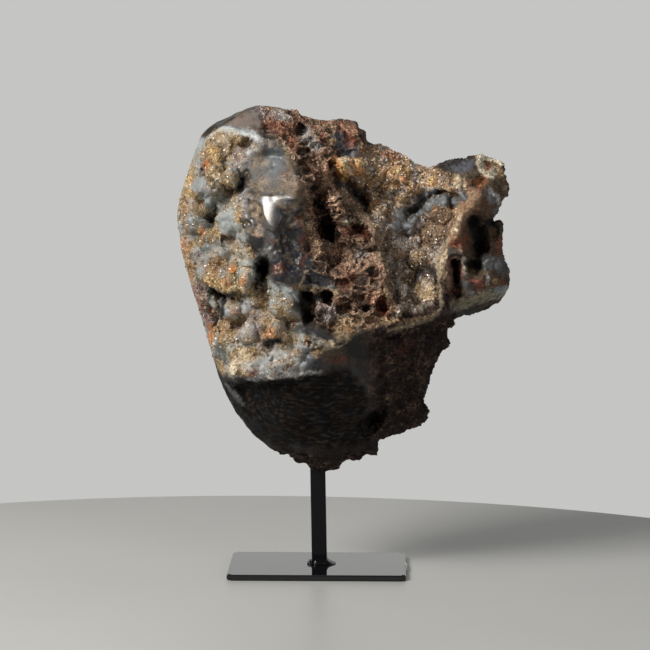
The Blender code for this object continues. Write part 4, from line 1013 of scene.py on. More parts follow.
def depth_surface(soundings):
    """A function that gives the depth at any place, smoothly through the soundings."""
    table = np.array(soundings, float)
    places = table[:, :2]
    full = table[:, 2] / np.maximum(rounding(eased_share(places)), LEAST_ROUNDING)
    count = len(places)
    system = np.zeros((count + 3, count + 3))
    apart = places[:, None] - places[None]
    system[:count, :count] = np.sqrt((apart**2).sum(-1) + SOUNDING_SOFTNESS**2)
    system[:count, count] = system[count, :count] = 1
    system[:count, count + 1:] = places
    system[count + 1:, :count] = places.T
    weights = np.linalg.solve(system, np.append(full, (0, 0, 0)))

    def depth_at(where):
        level = weights[count] + where @ weights[count + 1:]
        for place, weight in zip(places, weights[:count]):
            level += weight * np.sqrt(((where - place) ** 2).sum(1) + SOUNDING_SOFTNESS**2)
        return level * rounding(np.minimum(eased_share(where), 1))

    return depth_at


def distance_to_path(places, path):
    """Distance of each place from a path of points."""
    corners = np.array(path, float)
    if len(corners) == 1:
        return np.hypot(*(places - corners[0]).T)
    nearest = np.full(len(places), np.inf)
    for start, end in zip(corners[:-1], corners[1:]):
        along = end - start
        share = np.clip((places - start) @ along / (along @ along), 0, 1)
        nearest = np.minimum(nearest, np.hypot(*(places - start - share[:, None] * along).T))
    return nearest


def below_path(places, path, fall):
    """1 just below a path, fading to 0 further down and towards the path's two ends."""
    corners = np.array(path, float)
    lengths = np.hypot(*np.diff(corners, axis=0).T)
    starts = np.append(0, np.cumsum(lengths)) / lengths.sum()
    nearest = np.full(len(places), np.inf)
    amount = np.zeros(len(places))
    for index, (start, end) in enumerate(zip(corners[:-1], corners[1:])):
        along = end - start
        apart = places - start
        share = np.clip(apart @ along / (along @ along), 0, 1)
        distance = np.hypot(*(apart - share[:, None] * along).T)
        below = apart[:, 1] * along[0] < apart[:, 0] * along[1]
        travelled = starts[index] + share * (starts[index + 1] - starts[index])
        ends = np.sqrt(np.sin(math.pi * travelled).clip(0))
        here = below * np.clip(distance / LEDGE_LIP, 0, 1) * np.clip(1 - distance / fall, 0, 1)
        closer = distance < nearest
        amount = np.where(closer, here * ends, amount)
        nearest = np.minimum(nearest, distance)
    return amount


def inside_area(places, area, soft):
    """1 inside an outline and 0 outside, with a soft edge."""
    corners = np.array(area, float)
    crossings = np.zeros(len(places), int)
    for (ax, ay), (bx, by) in zip(corners, np.roll(corners, -1, 0)):
        if ay == by:
            continue
        level = (ay > places[:, 1]) != (by > places[:, 1])
        cross = ax + (places[:, 1] - ay) * (bx - ax) / (by - ay)
        crossings += level & (places[:, 0] < cross)
    distance = distance_to_path(places, (*area, area[0]))
    signed = np.where(crossings % 2 == 1, distance, -distance)
    return np.clip(0.5 + signed / soft, 0, 1)


def where_needed(function):
    """Runs a slow function only at the points whose mask is above 0."""
    def run(points, mask, *values):
        total = np.zeros(len(points))
        chosen = np.flatnonzero(mask > 0)
        if len(chosen):
            total[chosen] = function(points[chosen], *values)
        return total
    return run


@where_needed
def swells(points, table, seed):
    """Smooth random unevenness at each point, from a table of distances and heights."""
    total = np.zeros(len(points))
    for spacing, height in table:
        shift = Vector((seed, 2 * seed, 3 * seed))
        total += [height * noise.noise(Vector(point) / spacing + shift) for point in points]
    return total


@where_needed
def cell_walls(points, size, wall):
    """0 on the walls of a random pattern of cells and 1 inside them."""
    found = [noise.voronoi(Vector(point) / size)[0][:2] for point in points]
    near, second = np.array(found).T
    return np.clip((second - near) / wall, 0, 1)


@where_needed
def lumps(points, size, shift):
    """Round lumps: 1 on their tops and 0 between them."""
    near = [noise.voronoi(Vector(point) / size + Vector((shift,) * 3))[0][0] for point in points]
    return np.sqrt(np.clip(1 - (np.array(near) / LUMP_REACH) ** 2, 0, 1))


def wandered(points, table):
    """The (x, z) places of points, pushed about a little so that no edge is straight."""
    places = points[:, (0, 2)].copy()
    everywhere = np.ones(len(points))
    for axis, seed in enumerate(WANDER_SEEDS):
        places[:, axis] += swells(points, everywhere, table, seed)
    return places


def domes(places, balls, sink):
    """How far balls stand out of the surface, each sunk by a share of its radius."""
    raised = np.zeros(len(places))
    for x, z, radius in balls:
        apart = np.hypot(places[:, 0] - x, places[:, 1] - z)
        dome = np.sqrt(np.clip(radius**2 - apart**2, 0, None)) - sink * radius
        raised = np.maximum(raised, np.where(apart < radius, dome, 0))
    return raised


def carry_to_stone(ball):
    """Moves points of a unit ball onto the stone's form, in millimetres."""
    share = np.hypot(ball[:, 0], ball[:, 2])
    angles = np.arctan2(ball[:, 2], ball[:, 0])
    reach = outline_reach(angles) * share
    places = np.stack([np.cos(angles), np.sin(angles)], 1) * reach[:, None] + STONE_MIDDLE
    front, back = depth_surface(FRONT)(places), depth_surface(BACK)(places)
    facing = np.clip(0.5 - ball[:, 1] / FRONT_TURN, 0, 1)
    depth = np.where(ball[:, 1] < 0, -front, back)
    smooth = np.stack([places[:, 0], depth, places[:, 1]], 1)
    there = wandered(smooth, FORM_WANDER) * facing[:, None] + places * (1 - facing[:, None])
    # Large forms, ledges and balls come first, then the flat faces, and the holes cut into all.
    for width, push, *path in FORMS:
        near = np.clip(1 - (distance_to_path(there, path) / width) ** 2, 0, 1)
        depth = depth + facing * push * near
    for fall, push, *path in LEDGES:
        depth = depth + facing * push * below_path(there, path, fall)
    balls = np.maximum(domes(places, SMOOTH_BALLS, 0), domes(places, BALLS, BALL_SINK))
    depth = depth - facing * balls
    for outline, (x, y, z), (nx, ny, nz), edge, bulge in FACETS:
        flat = y - (nx * (places[:, 0] - x) + nz * (places[:, 1] - z)) / ny
        flat += ((places - (x, z)) ** 2) @ bulge
        depth = depth + facing * (flat - depth) * inside_area(places, outline, edge)
    for width, push, *path in HOLES:
        near = np.clip(HOLE_STEEPNESS * (1 - (distance_to_path(there, path) / width) ** 2), 0, 1)
        depth = depth + facing * push * near
    return np.stack([places[:, 0], depth, places[:, 1]], 1)


def lerp(colours, target, amount):
    return colours + (target - colours) * amount[:, None]


def area_masks(points, normals):
    """How far each point belongs to each kind of surface."""
    places = wandered(points, EDGE_WANDER)
    facing = np.clip(0.5 - normals[:, 1] * NORMAL_SOFT, 0, 1)
    front = np.clip(FRONT_EDGE - points[:, 1] / FRONT_FADE, 0, 1)
    masks = {name: inside_area(places, area, AREA_SOFT) * np.maximum(facing, front)
             for name, area in AREAS.items()}
    masks["all"], masks["facing"], masks["front"] = np.ones(len(points)), facing, front
    masks["druse"] = masks["druse"] * (1 - masks["facet"]) * (1 - masks["gloss"])
    masks["boxwork"] = masks["boxwork"] * (1 - masks["gloss"] * GLOSS_COVER) * (1 - masks["hollow"])
    back_edge = np.interp(places[:, 1], *np.array(BACK_EDGE, float).T)
    edge = back_edge * (1 - front) + ROUGH_RIGHT * front
    right = np.clip((places[:, 0] - edge) / AREA_FADE, 0, 1)
    foot = np.clip((FOOT_TOP - places[:, 1]) / AREA_FADE, 0, 1) * front
    masks["body"] = masks["body"] * (1 - foot)
    lips = [inside_area(places, area, AREA_SOFT) for area in SMOOTH_AREAS]
    masks["smooth"] = np.maximum.reduce(lips) * front
    masks["right"] = np.maximum(right, foot)
    for name, share in RIGHT_COVER.items():
        masks["right"] = masks["right"] * (1 - share * masks[name])
    glints = [inside_area(places, area, GLINT_SOFT) for area in BRIGHT_AREAS]
    masks["glint"] = np.maximum.reduce(glints)
    rim = np.clip(RIM_EDGE - distance_to_path(places, RIM_PATH) / RIM_WIDTH, 0, 1)
    masks["rim"] = rim * front
    low = np.clip((LOWER_TOP - places[:, 1]) / AREA_FADE, 0, 1)
    masks["low"] = low * facing * (1 - masks["right"]) * (1 - masks["druse"])
    return places, masks


def carve(mesh, relief):
    """The fine relief of each area, along the surface's own normals. Keeps what the colours need."""
    points, normals = points_of(mesh) / MM, normals_of(mesh)
    masks = area_masks(points, normals)[1]
    inward = (1 - share_of_reach(points[:, (0, 2)])) / EDGE_SHARE
    masks["druse"] = masks["druse"] * np.clip(inward, 0, 1)
    masks["rough"] = np.maximum(masks["boxwork"] * (1 - RIM_CALM * masks["rim"]),
                                CELL_SHARE_RIGHT * masks["right"])
    masks["grain"] = np.maximum.reduce([masks["rough"], masks["druse"], masks["hollow"]])
    masks["crown"] = masks["crown"] * masks["front"]
    masks["gloss"] = masks["gloss"] * (1 - masks["glint"])
    masks["facet"] = masks["facet"] * (1 - masks["glint"])
    masks["horn"] = masks["horn"] * (1 - LIP_CALM * masks["smooth"])
    rough, ribs = masks["rough"], points * RIB_STRETCH
    large = cell_walls(ribs, rough, *LARGE_CELLS)
    small = cell_walls(ribs + CELL_SHIFT, rough, *SMALL_CELLS)
    raised = -rough * (LARGE_DEPTH * large + SMALL_DEPTH * small)
    for area, (_, kinds) in LUMPS.items():
        raised += masks[area] * sum(height * lumps(points, masks[area], size, shift)
                                    for height, size, shift in kinds)
    raised -= sum(sink * masks[area] for area, (sink, _) in LUMPS.items())
    raised += RIM_HEIGHT * masks["rim"] * masks["boxwork"]
    for area, seed, *table in SWELLS:
        swell = swells(points, masks[area], table, seed)
        if area == "facet":
            strength, start, depth = DENTS
            swell = -np.clip(strength * swell - start, 0, depth)
        raised += swell * masks[area]
    set_points(mesh, (points + relief * normals * raised[:, None]) * MM)
    set_values(mesh, "pits", rough * np.maximum(large, SMALL_PITS * small))
    set_values(mesh, "walls", rough * (1 - large) ** 2)


def thin(obj, limit):
    """Brings the stone under its limit of triangles, taking most from the smooth back."""
    mesh = obj.data
    mesh.calc_loop_triangles()
    count = len(mesh.loop_triangles)
    if count <= limit:
        return
    ease = obj.vertex_groups.new(name="ease")
    points, normals = points_of(mesh) / MM, normals_of(mesh)
    plain = (normals[:, 1] > BACK_FACING) & (points[:, 0] < ROUGH_RIGHT)
    ease.add(np.flatnonzero(plain).tolist(), BACK_EASE, "REPLACE")
    ease.add(np.flatnonzero(~plain).tolist(), REST_EASE, "REPLACE")
    apply_modifier(obj, "DECIMATE", ratio=limit / count, vertex_group=ease.name,
                   vertex_group_factor=1.0, use_collapse_triangulate=True)
    obj.vertex_groups.clear()


def veiled(tint, areas, colour, fields, masks):
    """The colours under the veils of each area, which follow the fields."""
    for area, veils in areas:
        for name, brightness, most, start, weights in veils:
            share = start + sum(weight * fields[field] for field, weight in weights.items())
            tint = lerp(tint, colour[name] * brightness, np.clip(share, 0, most) * masks[area])
    return tint


def marked(tint, places, colour, fields, front):
    """The colours with the markings, and how far each point is satin and how far it is bare."""
    satin, bare = np.zeros(len(places)), np.zeros(len(places))
    broken = np.clip(MOTTLE_SHARE + MOTTLE_GRAIN * fields["grain"], LEAST_MOTTLE, 1)
    frayed = MARK_FRAY * fields["fine"]
    for name, width, amount, *path in MARKINGS:
        apart = distance_to_path(places, path) / (width + MARK_EDGE)
        cover = np.clip(MARK_STEEPNESS * (1 - apart**2 + frayed * (apart < 1)), 0, 1)
        if name in MOTTLED:
            cover *= broken
        share = cover * amount * front
        tint = lerp(tint, colour[name], share)
        satin += (float(name in SATIN) - satin) * share
        bare += (float(name in BARE) - bare) * share
    return tint, satin, bare


def strongest(masks, shares, *others):
    """The largest at each point of the masks, each times its share, and of the other values."""
    return np.maximum.reduce([share * masks[name] for name, share in shares.items()] + list(others))


def paint(mesh):
    """The colour, gloss and grain of each point, from the areas and the markings."""
    points, normals = points_of(mesh) / MM, normals_of(mesh)
    places, masks = area_masks(points, normals)
    masks["flecked"] = np.maximum(masks["facet"], masks["gloss"]) * (1 - masks["glint"])
    fields = {name: swells(points, masks[area], table, seed)
              for name, (area, seed, *table) in FIELDS.items()}
    fields["pits"], fields["walls"] = get_values(mesh, "pits"), get_values(mesh, "walls")
    fields["height"] = (places[:, 1] - HOLLOW_WARM[0]) / HOLLOW_WARM[1]
    colour = {name: screen(*values) for name, values in PALETTE.items()}
    tint = np.tile(colour["body"], (len(points), 1))
    tint = veiled(tint, GROUND, colour, fields, masks)
    for area, name, brightness, veils in COATS:
        coat = np.tile(colour[name] * brightness, (len(points), 1))
        coat = veiled(coat, (("all", veils),), colour, fields, masks)
        tint = lerp(tint, coat, masks[area])
    tint = veiled(tint, GLOSSY, colour, fields, masks)
    front = np.maximum(masks["facing"], masks["front"])
    spots = wandered(points, FORM_WANDER)
    tint, satin, bare = marked(tint, spots, colour, fields, front)
    tint = veiled(tint, FLECKS, colour, fields, masks)
    # The smooth balls in steel grey, with painted light on their tops and painted shade at their
    # edges.
    balls = domes(points[:, (0, 2)], SMOOTH_BALLS, 0) * masks["front"]
    steel = STEEL_LEAST + STEEL_TOP_LIGHT * balls + STEEL_FINE * fields["fine"]
    balls = np.clip(balls, 0, 1)
    tint = lerp(tint, colour["steel"] * steel[:, None], balls)
    warmth = (tint[:, 0] - tint[:, 2]) / (tint[:, 0] + tint[:, 2])
    grown = np.clip(GROWN_RISE * warmth - GROWN_START, GROWN_LEAST, 1) * (1 - balls)
    grown *= 1 - BARE_SHARE * np.maximum(satin, bare)
    tint *= (1 + FINE_CONTRAST * fields["fine"])[:, None]
    for name, share in BRIGHTNESS.items():
        tint *= 1 + (share - 1) * masks[name][:, None]
    tint = veiled(tint, RIM_VEIL, colour, fields, masks)
    polish = strongest(masks, POLISH, 1 - front)
    polish = np.maximum(polish * (1 - masks["right"]), SATIN_POLISH * satin)
    wax = strongest(masks, WAX, SATIN_WAX * satin, BARE_WAX * bare, balls)
    cold = np.clip(1 - COLD_RISE * warmth, 0, 1)
    values = {
        "tint": tint.clip(*STONE_TINTS),
        "polish": np.maximum(polish, BALL_POLISH * balls).clip(0, 1),
        "sugar": np.maximum(masks["druse"], masks["hollow"]) * (1 - polish) * grown,
        "banding": np.clip(1 - front, 0, 1) * (1 - masks["right"]),
        "porous": np.maximum(masks["boxwork"], masks["right"]) * (1 - polish),
        "shine": 1 - BODY_DULL * masks["body"] - RIGHT_DULL * masks["right"],
        "milky": np.maximum(wax, cold * masks["druse"]),
        "in_druse": masks["druse"] * grown,
        "in_hollow": masks["hollow"] * grown,
    }
    for name, value in values.items():
        set_values(mesh, name, value)


def feed(tree, made, inputs):
    """Sets inputs of a shader node to numbers or colours, or links other nodes' outputs to them."""
    for key, value in inputs.items():
        if isinstance(value, bpy.types.NodeSocket):
            tree.links.new(value, made.inputs[key])
        else:
            made.inputs[key].default_value = value


def node(tree, kind, inputs=None, **values):
    """A shader node with its settings and inputs."""
    made = tree.nodes.new("ShaderNode" + kind)
    for key, value in values.items():
        setattr(made, key, value)
    feed(tree, made, inputs or {})
    return made


def calculate(tree, operation, *values, clamp=False):
    inputs = dict(enumerate(values))
    return node(tree, "Math", inputs, operation=operation, use_clamp=clamp).outputs[0]


def vector(tree, operation, inputs):
    return node(tree, "VectorMath", inputs, operation=operation).outputs[0]


def mix_colour(tree, factor, first, second, blend="MIX"):
    made = node(tree, "Mix", data_type="RGBA", blend_type=blend)
    feed(tree, made, {0: factor, 6: first, 7: second})
    return made.outputs[2]


def ramp(tree, factor, *stops):
    """A colour ramp with (place, colour) stops."""
    made = node(tree, "ValToRGB", {"Fac": factor})
    band = made.color_ramp
    while len(band.elements) < len(stops):
        band.elements.new(0.5)
    for element, (place, colour) in zip(band.elements, stops):
        element.position = place
        element.color = (*colour, 1.0)
    return made.outputs["Color"]


def fade(tree, factor, black, white):
    """A ramp from black at one value to white at another."""
    return ramp(tree, factor, (black, (0, 0, 0)), (white, (1, 1, 1)))


def cloud(tree, place, scale, detail, roughness=0.5):
    """Soft random noise between 0 and 1."""
    inputs = {"Vector": place, "Scale": scale, "Detail": detail, "Roughness": roughness}
    return node(tree, "TexNoise", inputs).outputs["Fac"]


def read_value(tree, name, output="Fac"):
    return node(tree, "Attribute", attribute_name=name).outputs[output]


def new_material(name):
    """A material with its node tree, its shader and the place of each point on the object."""
    material = bpy.data.materials.new(name)
    material.use_nodes = True
    tree = material.node_tree
    return material, tree, tree.nodes["Principled BSDF"], node(tree, "TexCoord").outputs["Object"]


def facet_normal(tree, place, size, amount, base):
    """A normal that leans another way in each cell of a pattern, as small crystal faces do."""
    pattern = node(tree, "TexVoronoi", {"Vector": place, "Scale": 1 / size}).outputs["Color"]
    lean = vector(tree, "SUBTRACT", {0: pattern, 1: (0.5, 0.5, 0.5)})
    lean = vector(tree, "SCALE", {0: lean, "Scale": amount})
    leaning = vector(tree, "ADD", {0: base, 1: lean})
    return vector(tree, "NORMALIZE", {0: leaning})


def banded_colour(tree, place):
    """The cut bands of the polished back: grey blue, white lines, near black and amber."""
    middle = node(tree, "Mapping", {
        "Vector": place, "Location": (0.018, -0.02, -0.2), "Scale": (1.0, 0.8, 0.72),
    }).outputs[0]
    apart = node(tree, "VectorMath", {0: middle}, operation="LENGTH").outputs["Value"]
    bent = calculate(tree, "MULTIPLY_ADD", cloud(tree, place, 28, 4), 0.03, apart)
    turn = calculate(tree, "FRACT", calculate(tree, "MULTIPLY", bent, 24.0))
    lines = ramp(tree, turn, *((stop, screen(*colour)) for stop, colour in BACK_BANDS))
    patch = cloud(tree, place, 14, 3)
    dark = ramp(tree, patch, (0.35, screen(26, 23, 23)), (0.7, screen(66, 60, 54)))
    return mix_colour(tree, fade(tree, patch, 0.38, 0.6), dark, lines)


def stone_material():
    material, tree, shader, place = new_material("agate_stone")
    polish, sugar, banding, porous, shine, milky = (
        read_value(tree, name)
        for name in ("polish", "sugar", "banding", "porous", "shine", "milky")
    )
    tint = mix_colour(tree, banding, read_value(tree, "tint", "Color"), banded_colour(tree, place))
    # Fine speckle, fainter on polished and milky places.
    speckle = cloud(tree, place, 900, 3, 0.7)
    light = ramp(tree, speckle, (0.38, (0.4, 0.4, 0.4)), (0.62, (1.7, 1.66, 1.6)))
    strength = calculate(tree, "MULTIPLY_ADD", polish, -0.75, 1.0)
    strength = calculate(tree, "MULTIPLY_ADD", milky, -0.75, strength, clamp=True)
    tint = mix_colour(tree, strength, tint, mix_colour(tree, 1.0, tint, light, "MULTIPLY"))
    # Pores on the porous areas, with painted shade that darkens them towards their sunk middles.
    cells = node(tree, "TexVoronoi", {"Vector": place, "Scale": 1 / PORE_SIZE},
                 feature="DISTANCE_TO_EDGE").outputs["Distance"]
    shade = calculate(tree, "MULTIPLY", cells, 4.0, clamp=True)
    shade = calculate(tree, "MULTIPLY", shade, porous)
    dark = mix_colour(tree, 1.0, tint, (0.36, 0.31, 0.29, 1), "MULTIPLY")
    tint = mix_colour(tree, shade, tint, dark)
    # Pale streaks where the stone is dull.
    streaked = node(tree, "Mapping", {
        "Vector": place, "Rotation": (0, 0.7, 0), "Scale": (160.0, 500.0, 520.0),
    }).outputs[0]
    streak = fade(tree, cloud(tree, streaked, 1, 3), 0.5, 0.68)
    dull = calculate(tree, "MULTIPLY_ADD", shine, -0.55, 0.55)
    pale = calculate(tree, "MULTIPLY", streak, dull)
    tint = mix_colour(tree, pale, tint, (*screen(74, 66, 60), 1))
    # Polish and sugar make it smoother.
    rough = calculate(tree, "MULTIPLY_ADD", polish, -0.42, 0.56)
    rough = calculate(tree, "MULTIPLY_ADD", sugar, -0.3, rough)
    rough = calculate(tree, "MULTIPLY_ADD", cloud(tree, place, 160, 4), 0.14, rough, clamp=True)
    # The relief of pores and grain, which is too fine for the mesh.
    height = calculate(tree, "MULTIPLY_ADD", polish, -0.92, 1.0)
    height = calculate(tree, "MULTIPLY_ADD", milky, -0.5, height, clamp=True)
    pitted = node(tree, "Bump", {
        "Height": calculate(tree, "MULTIPLY", shade, -0.8), "Strength": 0.9, "Distance": 0.0012,
    }).outputs["Normal"]
    grained = node(tree, "Bump", {
        "Height": cloud(tree, place, 1100, 4, 0.65), "Strength": height, "Distance": 0.0009,
        "Normal": pitted,
    }).outputs["Normal"]
    feed(tree, shader, {
        "Base Color": tint, "Roughness": rough, "IOR": 1.54,
        "Specular IOR Level": calculate(tree, "MULTIPLY", shine, 0.5),
        "Normal": facet_normal(tree, place, SUGAR_SIZE, sugar, grained),
    })
    return material


def crystal_material():
    material, tree, shader, place = new_material("quartz_crystals")
    haze = cloud(tree, place, 1500, 2)
    light = ramp(tree, haze, (0.3, (0.7, 0.7, 0.7)), (0.75, (1.3, 1.3, 1.3)))
    feed(tree, shader, {
        "Base Color": mix_colour(tree, 1.0, read_value(tree, "tint", "Color"), light, "MULTIPLY"),
        "Roughness": calculate(tree, "MULTIPLY_ADD", haze, 0.16, 0.03), "IOR": 1.55,
    })
    return material


def paint_material(name, settings, size, coat):
    """Gloss black paint with a faint orange peel, dust and rubbed places, under a clear coat."""
    material, tree, shader, place = new_material(name)
    fleck = node(tree, "TexVoronoi", {"Vector": place, "Scale": 260.0}).outputs["Distance"]
    fleck = ramp(tree, fleck, (0.05, (1, 1, 1)), (0.1, (0, 0, 0)))
    worn = fade(tree, cloud(tree, place, 1 / size, 6), 0.55, 0.8)
    share = calculate(tree, "MULTIPLY", fleck, worn)
    peel = node(tree, "Bump", {
        "Height": cloud(tree, place, 180, 1), "Strength": 0.04, "Distance": 0.0006})
    feed(tree, shader, {
        "Base Color": mix_colour(tree, share, (*settings.paint, 1), (0.06, 0.06, 0.058, 1)),
        "Roughness": calculate(tree, "MULTIPLY_ADD", worn, 0.05, settings.gloss),
        "Specular IOR Level": 0.15, "Coat Weight": coat, "Coat Roughness": 0.02,
        "Normal": peel.outputs["Normal"],
    })
    return material


def floor_material(settings):
    material, tree, shader, place = new_material("pale_floor")
    low = [value * 0.94 for value in settings.floor_colour]
    tint = ramp(tree, cloud(tree, place, 5, 5), (0.3, low), (0.7, settings.floor_colour))
    feed(tree, shader, {"Base Color": tint, "Roughness": 0.38})
    return material


def one_crystal():
    """Points and faces of a crystal one unit in radius: a six-sided stem with a pointed top."""
    cone = add_primitive("crystal", bpy.ops.mesh.primitive_cone_add, vertices=6, radius1=1.0,
                         radius2=0.0, depth=1.0, end_fill_type="NGON")
    bpy.ops.object.mode_set(mode="EDIT")
    bpy.ops.mesh.select_all(action="DESELECT")
    bpy.ops.mesh.select_mode(type="FACE")
    bm = bmesh.from_edit_mesh(cone.data)
    for face in bm.faces:
        face.select_set(face.normal.z < -0.9)
    bmesh.update_edit_mesh(cone.data)
    bpy.ops.mesh.extrude_region_move(TRANSFORM_OT_translate={"value": (0, 0, -1.0)})
    bpy.ops.object.mode_set(mode="OBJECT")
    points = points_of(cone.data)
    faces = [tuple(polygon.vertices) for polygon in cone.data.polygons]
    bpy.data.objects.remove(cone, do_unlink=True)
    return points, faces


def scatter(stone, layer, spacing, seed):
    """Places, normals and colours spread over the part of the stone that a layer marks."""
    mesh = stone.data
    mesh.calc_loop_triangles()
    corners = np.empty(len(mesh.loop_triangles) * 3, np.int32)
    mesh.loop_triangles.foreach_get("vertices", corners)
    corners = corners.reshape(-1, 3)
    points, marks, tint = points_of(mesh), get_values(mesh, layer), get_values(mesh, "tint")
    corners = corners[marks[corners].mean(1) > LEAST_MARK]
    start, middle, end = points[corners].transpose(1, 0, 2)
    across = np.cross(middle - start, end - start)
    areas = np.linalg.norm(across, axis=1) / 2
    rng = np.random.default_rng(seed)
    wanted = int(TRIES * areas.sum() / spacing**2)
    chosen = rng.choice(len(corners), wanted, p=areas / areas.sum())
    first, second = rng.random(wanted), rng.random(wanted)
    over = first + second > 1
    first, second = np.where(over, 1 - first, first), np.where(over, 1 - second, second)
    shares = np.stack([1 - first - second, first, second], 1)[:, :, None]
    places = (points[corners[chosen]] * shares).sum(1)
    colours = (tint[corners[chosen]] * shares).sum(1)
    density = (marks[corners[chosen]] * shares[:, :, 0]).sum(1)
    normals = across[chosen] / np.linalg.norm(across[chosen], axis=1)[:, None]
    facing = normals[:, 1] < BACK_TURNED
    dense = np.flatnonzero((rng.random(wanted) < density) & facing & (density > LEAST_DENSITY))
    cells = np.floor(places[dense] / spacing).astype(int)
    _, kept = np.unique(cells, axis=0, return_index=True)
    kept = dense[np.sort(kept)]
    return places[kept], normals[kept], colours[kept], rng


def grow_crystals(name, stone, layer, spacing, radius, sparkle, seed):
    """One mesh of many small crystals that stand on the stone, each leaning its own way."""
    shape, sides = one_crystal()
    places, normals, colours, rng = scatter(stone, layer, spacing, seed)
    count = len(places)
    axes = normals + rng.normal(0, CRYSTAL_LEAN, (count, 3))
    axes /= np.linalg.norm(axes, axis=1)[:, None]
    turned = np.cross(axes, rng.normal(0, 1, (count, 3)))
    turned /= np.linalg.norm(turned, axis=1)[:, None]
    third = np.cross(axes, turned)
    widths = radius * rng.lognormal(0, WIDTH_SPREAD, count).clip(0, WIDEST)
    heights = widths * rng.uniform(*HEIGHTS, count)
    wide, high = widths[:, None, None], heights[:, None, None]
    x, y, z = (shape[None, :, index:index + 1] for index in range(3))
    points = places[:, None] + (
        wide * (x * turned[:, None] + y * third[:, None]) + high * z * axes[:, None]
    )
    step = len(shape)
    faces = [tuple(index * step + corner for corner in side)
             for index in range(count) for side in sides]
    mesh = bpy.data.meshes.new(name)
    mesh.from_pydata(points.reshape(-1, 3).tolist(), [], faces)
    obj = bpy.data.objects.new(name, mesh)
    bpy.context.scene.collection.objects.link(obj)
    light = rng.lognormal(LIGHT_MIDDLE, sparkle, count)[:, None]
    warmth = rng.normal(0, WARMTH_SPREAD, (count, 1)) * np.array(WARMER)
    colours = (colours * light * (1 + warmth)).clip(*CRYSTAL_TINTS)
    set_values(mesh, "tint", np.repeat(colours, step, axis=0))
    return obj


class AGATE_OT_carve_stone(bpy.types.Operator):
    """Carve the stone from a ball, with its relief, colours and polish"""

    bl_idname = "agate.carve_stone"
    bl_label = "Carve Stone"

    def execute(self, context):
        settings = context.scene.agate_stone
        voxel = settings.voxel * 1.0
        stone = add_primitive("agate_carved", bpy.ops.mesh.primitive_ico_sphere_add,
                              subdivisions=BALL_SUBDIVISIONS, radius=1.0)
        set_points(stone.data, carry_to_stone(points_of(stone.data)) * MM)
        apply_modifier(stone, "REMESH", mode="VOXEL", voxel_size=voxel)
        carve(stone.data, settings.relief)
        thin(stone, STONE_LIMIT)
        paint(stone.data)
        stone.data.shade_smooth()
        stone.data.materials.append(stone_material())
        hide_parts("agate")
        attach(stone, "root")
        return {"FINISHED"}


class AGATE_OT_grow_druse(bpy.types.Operator):
    """Grow the small crystals of the druse face and of the hollow"""

    bl_idname = "agate.grow_druse"
    bl_label = "Grow Crystals"

    def execute(self, context):
        settings = context.scene.agate_crystals
        stone = bpy.data.objects["agate_carved"]
        material = crystal_material()
        face = grow_crystals("druse_crystals", stone, "in_druse", settings.spacing,
                             settings.radius, DRUSE_SPARKLE, settings.seed)
        hollow = grow_crystals("hollow_crystals", stone, "in_hollow", settings.hollow_spacing,
                               settings.radius, HOLLOW_SPARKLE, settings.seed + 1)
        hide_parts("druse_crust")
        for crystals in (face, hollow):
            crystals.data.materials.append(material)
            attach(crystals, "root")
        return {"FINISHED"}


class AGATE_OT_lay_weld(bpy.types.Operator):
    """Lay the weld's glossy beads round the foot of the post"""

    bl_idname = "agate.lay_weld"
    bl_label = "Lay Weld"

    def execute(self, context):
        beads = [add_primitive(f"weld_bead_{number}", bpy.ops.mesh.primitive_uv_sphere_add,
                               segments=20, ring_count=12, radius=radius * MM,
                               location=(x * MM, y * MM, z * MM))
                 for number, (x, y, z, radius) in enumerate(WELD_BEADS)]
        for bead in beads:
            bead.select_set(True)
        bpy.ops.object.join()
        weld = context.active_object
        weld.name = weld.data.name = "weld_beads"
        bpy.ops.object.transform_apply(location=True, rotation=True, scale=True)
        apply_modifier(weld, "REMESH", mode="VOXEL", voxel_size=BEAD_VOXEL)
        apply_modifier(weld, "SMOOTH", factor=0.5, iterations=4)
        weld.data.shade_smooth()
        weld.data.materials.clear()
        gloss = paint_material("gloss_weld", context.scene.agate_stand, WELD_WEAR, 1.0)
        weld.data.materials.append(gloss)
        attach(weld, "root")
        return {"FINISHED"}


class AGATE_OT_paint_stand(bpy.types.Operator):
    """Give the plate and the post their gloss paint"""

    bl_idname = "agate.paint_stand"
    bl_label = "Paint Stand"

    def execute(self, context):
        settings = context.scene.agate_stand
        for name, size, coat in PAINTED:
            material = paint_material("gloss_" + name, settings, size, coat)
            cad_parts[name].material_slots[0].material = material
        return {"FINISHED"}


def add_light(name, place, aim, size, colour, power):
    light = bpy.data.lights.new(name, "AREA")
    light.shape = "RECTANGLE"
    light.size = light.size_y = size
    light.energy = power
    light.color = colour
    obj = bpy.data.objects.new(name, light)
    bpy.context.scene.collection.objects.link(obj)
    obj.location = place
    obj.rotation_euler = (Vector(aim) - Vector(place)).to_track_quat("-Z", "Y").to_euler()


def make_world():
    """A pale backdrop behind the stand and a dark room in front of it."""
    world = bpy.data.worlds.new("studio")
    world.use_nodes = True
    tree = world.node_tree
    way = node(tree, "TexCoord").outputs["Generated"]
    depth = node(tree, "SeparateXYZ", {"Vector": way}).outputs["Y"]
    behind = ramp(tree, depth, (0.0, (0.05, 0.05, 0.05)), (0.75, (0.38, 0.38, 0.37)),
                  (1.0, BACKDROP))
    seen = node(tree, "LightPath").outputs["Is Camera Ray"]
    colour = mix_colour(tree, seen, behind, (*BACKDROP, 1))
    feed(tree, tree.nodes["Background"], {"Color": colour})
    bpy.context.scene.world = world


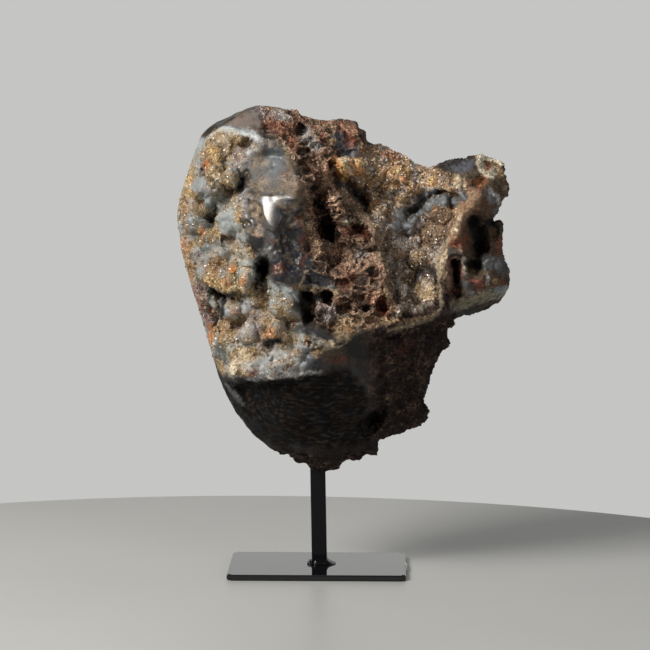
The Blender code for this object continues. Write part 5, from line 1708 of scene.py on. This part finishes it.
def add_camera(lens):
    """The camera at the photograph's angle."""
    camera = bpy.data.cameras.new("camera")
    camera.lens = lens
    camera.sensor_width = 36
    holder = bpy.data.objects.new("camera", camera)
    bpy.context.scene.collection.objects.link(holder)
    holder.location = CAMERA_PLACE
    holder.rotation_euler = (math.pi / 2 - CAMERA_DOWN, 0, CAMERA_TURN)
    bpy.context.scene.camera = holder


class AGATE_OT_set_stage(bpy.types.Operator):
    """Set up the round pale floor, the soft lights and the camera"""

    bl_idname = "agate.set_stage"
    bl_label = "Set Stage"

    def execute(self, context):
        settings = context.scene.agate_stage
        radius = settings.floor_radius
        floor = add_primitive("floor", bpy.ops.mesh.primitive_cylinder_add, vertices=192,
                              radius=radius, depth=FLOOR_THICKNESS,
                              location=(FLOOR_MIDDLE, FLOOR_BACK - radius, -FLOOR_THICKNESS / 2))
        apply_modifier(floor, "BEVEL", width=0.003, segments=3, limit_method="ANGLE")
        floor.data.transform(floor.matrix_world)
        floor.matrix_world = Matrix.Identity(4)
        floor.data.materials.append(floor_material(settings))
        add_light("key", *KEY_LIGHT, settings.key_power)
        add_light("fill", *FILL_LIGHT, settings.fill_power)
        make_world()
        add_camera(settings.lens)
        context.scene.view_settings.view_transform = "Standard"
        return {"FINISHED"}


class AGATE_PT_tools(bpy.types.Panel):
    bl_label = "Agate on Stand"
    bl_idname = "AGATE_PT_tools"
    bl_space_type = "VIEW_3D"
    bl_region_type = "UI"
    bl_category = "Agate"

    def draw(self, context):
        layout = self.layout
        for group in SETTINGS:
            box = layout.box()
            values = getattr(context.scene, group)
            for name in values.__annotations__:
                box.prop(values, name)
        for operator in OPERATORS:
            layout.operator(operator.bl_idname)


SETTINGS = {
    "agate_stone": StoneSettings,
    "agate_crystals": CrystalSettings,
    "agate_stand": StandSettings,
    "agate_stage": StageSettings,
}
OPERATORS = (
    AGATE_OT_carve_stone, AGATE_OT_grow_druse, AGATE_OT_lay_weld, AGATE_OT_paint_stand,
    AGATE_OT_set_stage,
)


def register():
    for group, settings in SETTINGS.items():
        bpy.utils.register_class(settings)
        setattr(bpy.types.Scene, group, PointerProperty(type=settings))
    for operator in OPERATORS:
        bpy.utils.register_class(operator)
    bpy.utils.register_class(AGATE_PT_tools)


def unregister():
    bpy.utils.unregister_class(AGATE_PT_tools)
    for operator in reversed(OPERATORS):
        bpy.utils.unregister_class(operator)
    for group, settings in reversed(SETTINGS.items()):
        delattr(bpy.types.Scene, group)
        bpy.utils.unregister_class(settings)


def main():
    register()
    bpy.ops.agate.carve_stone()
    bpy.ops.agate.grow_druse()
    bpy.ops.agate.lay_weld()
    bpy.ops.agate.paint_stand()
    bpy.ops.agate.set_stage()


if __name__ == "__main__":
    main()
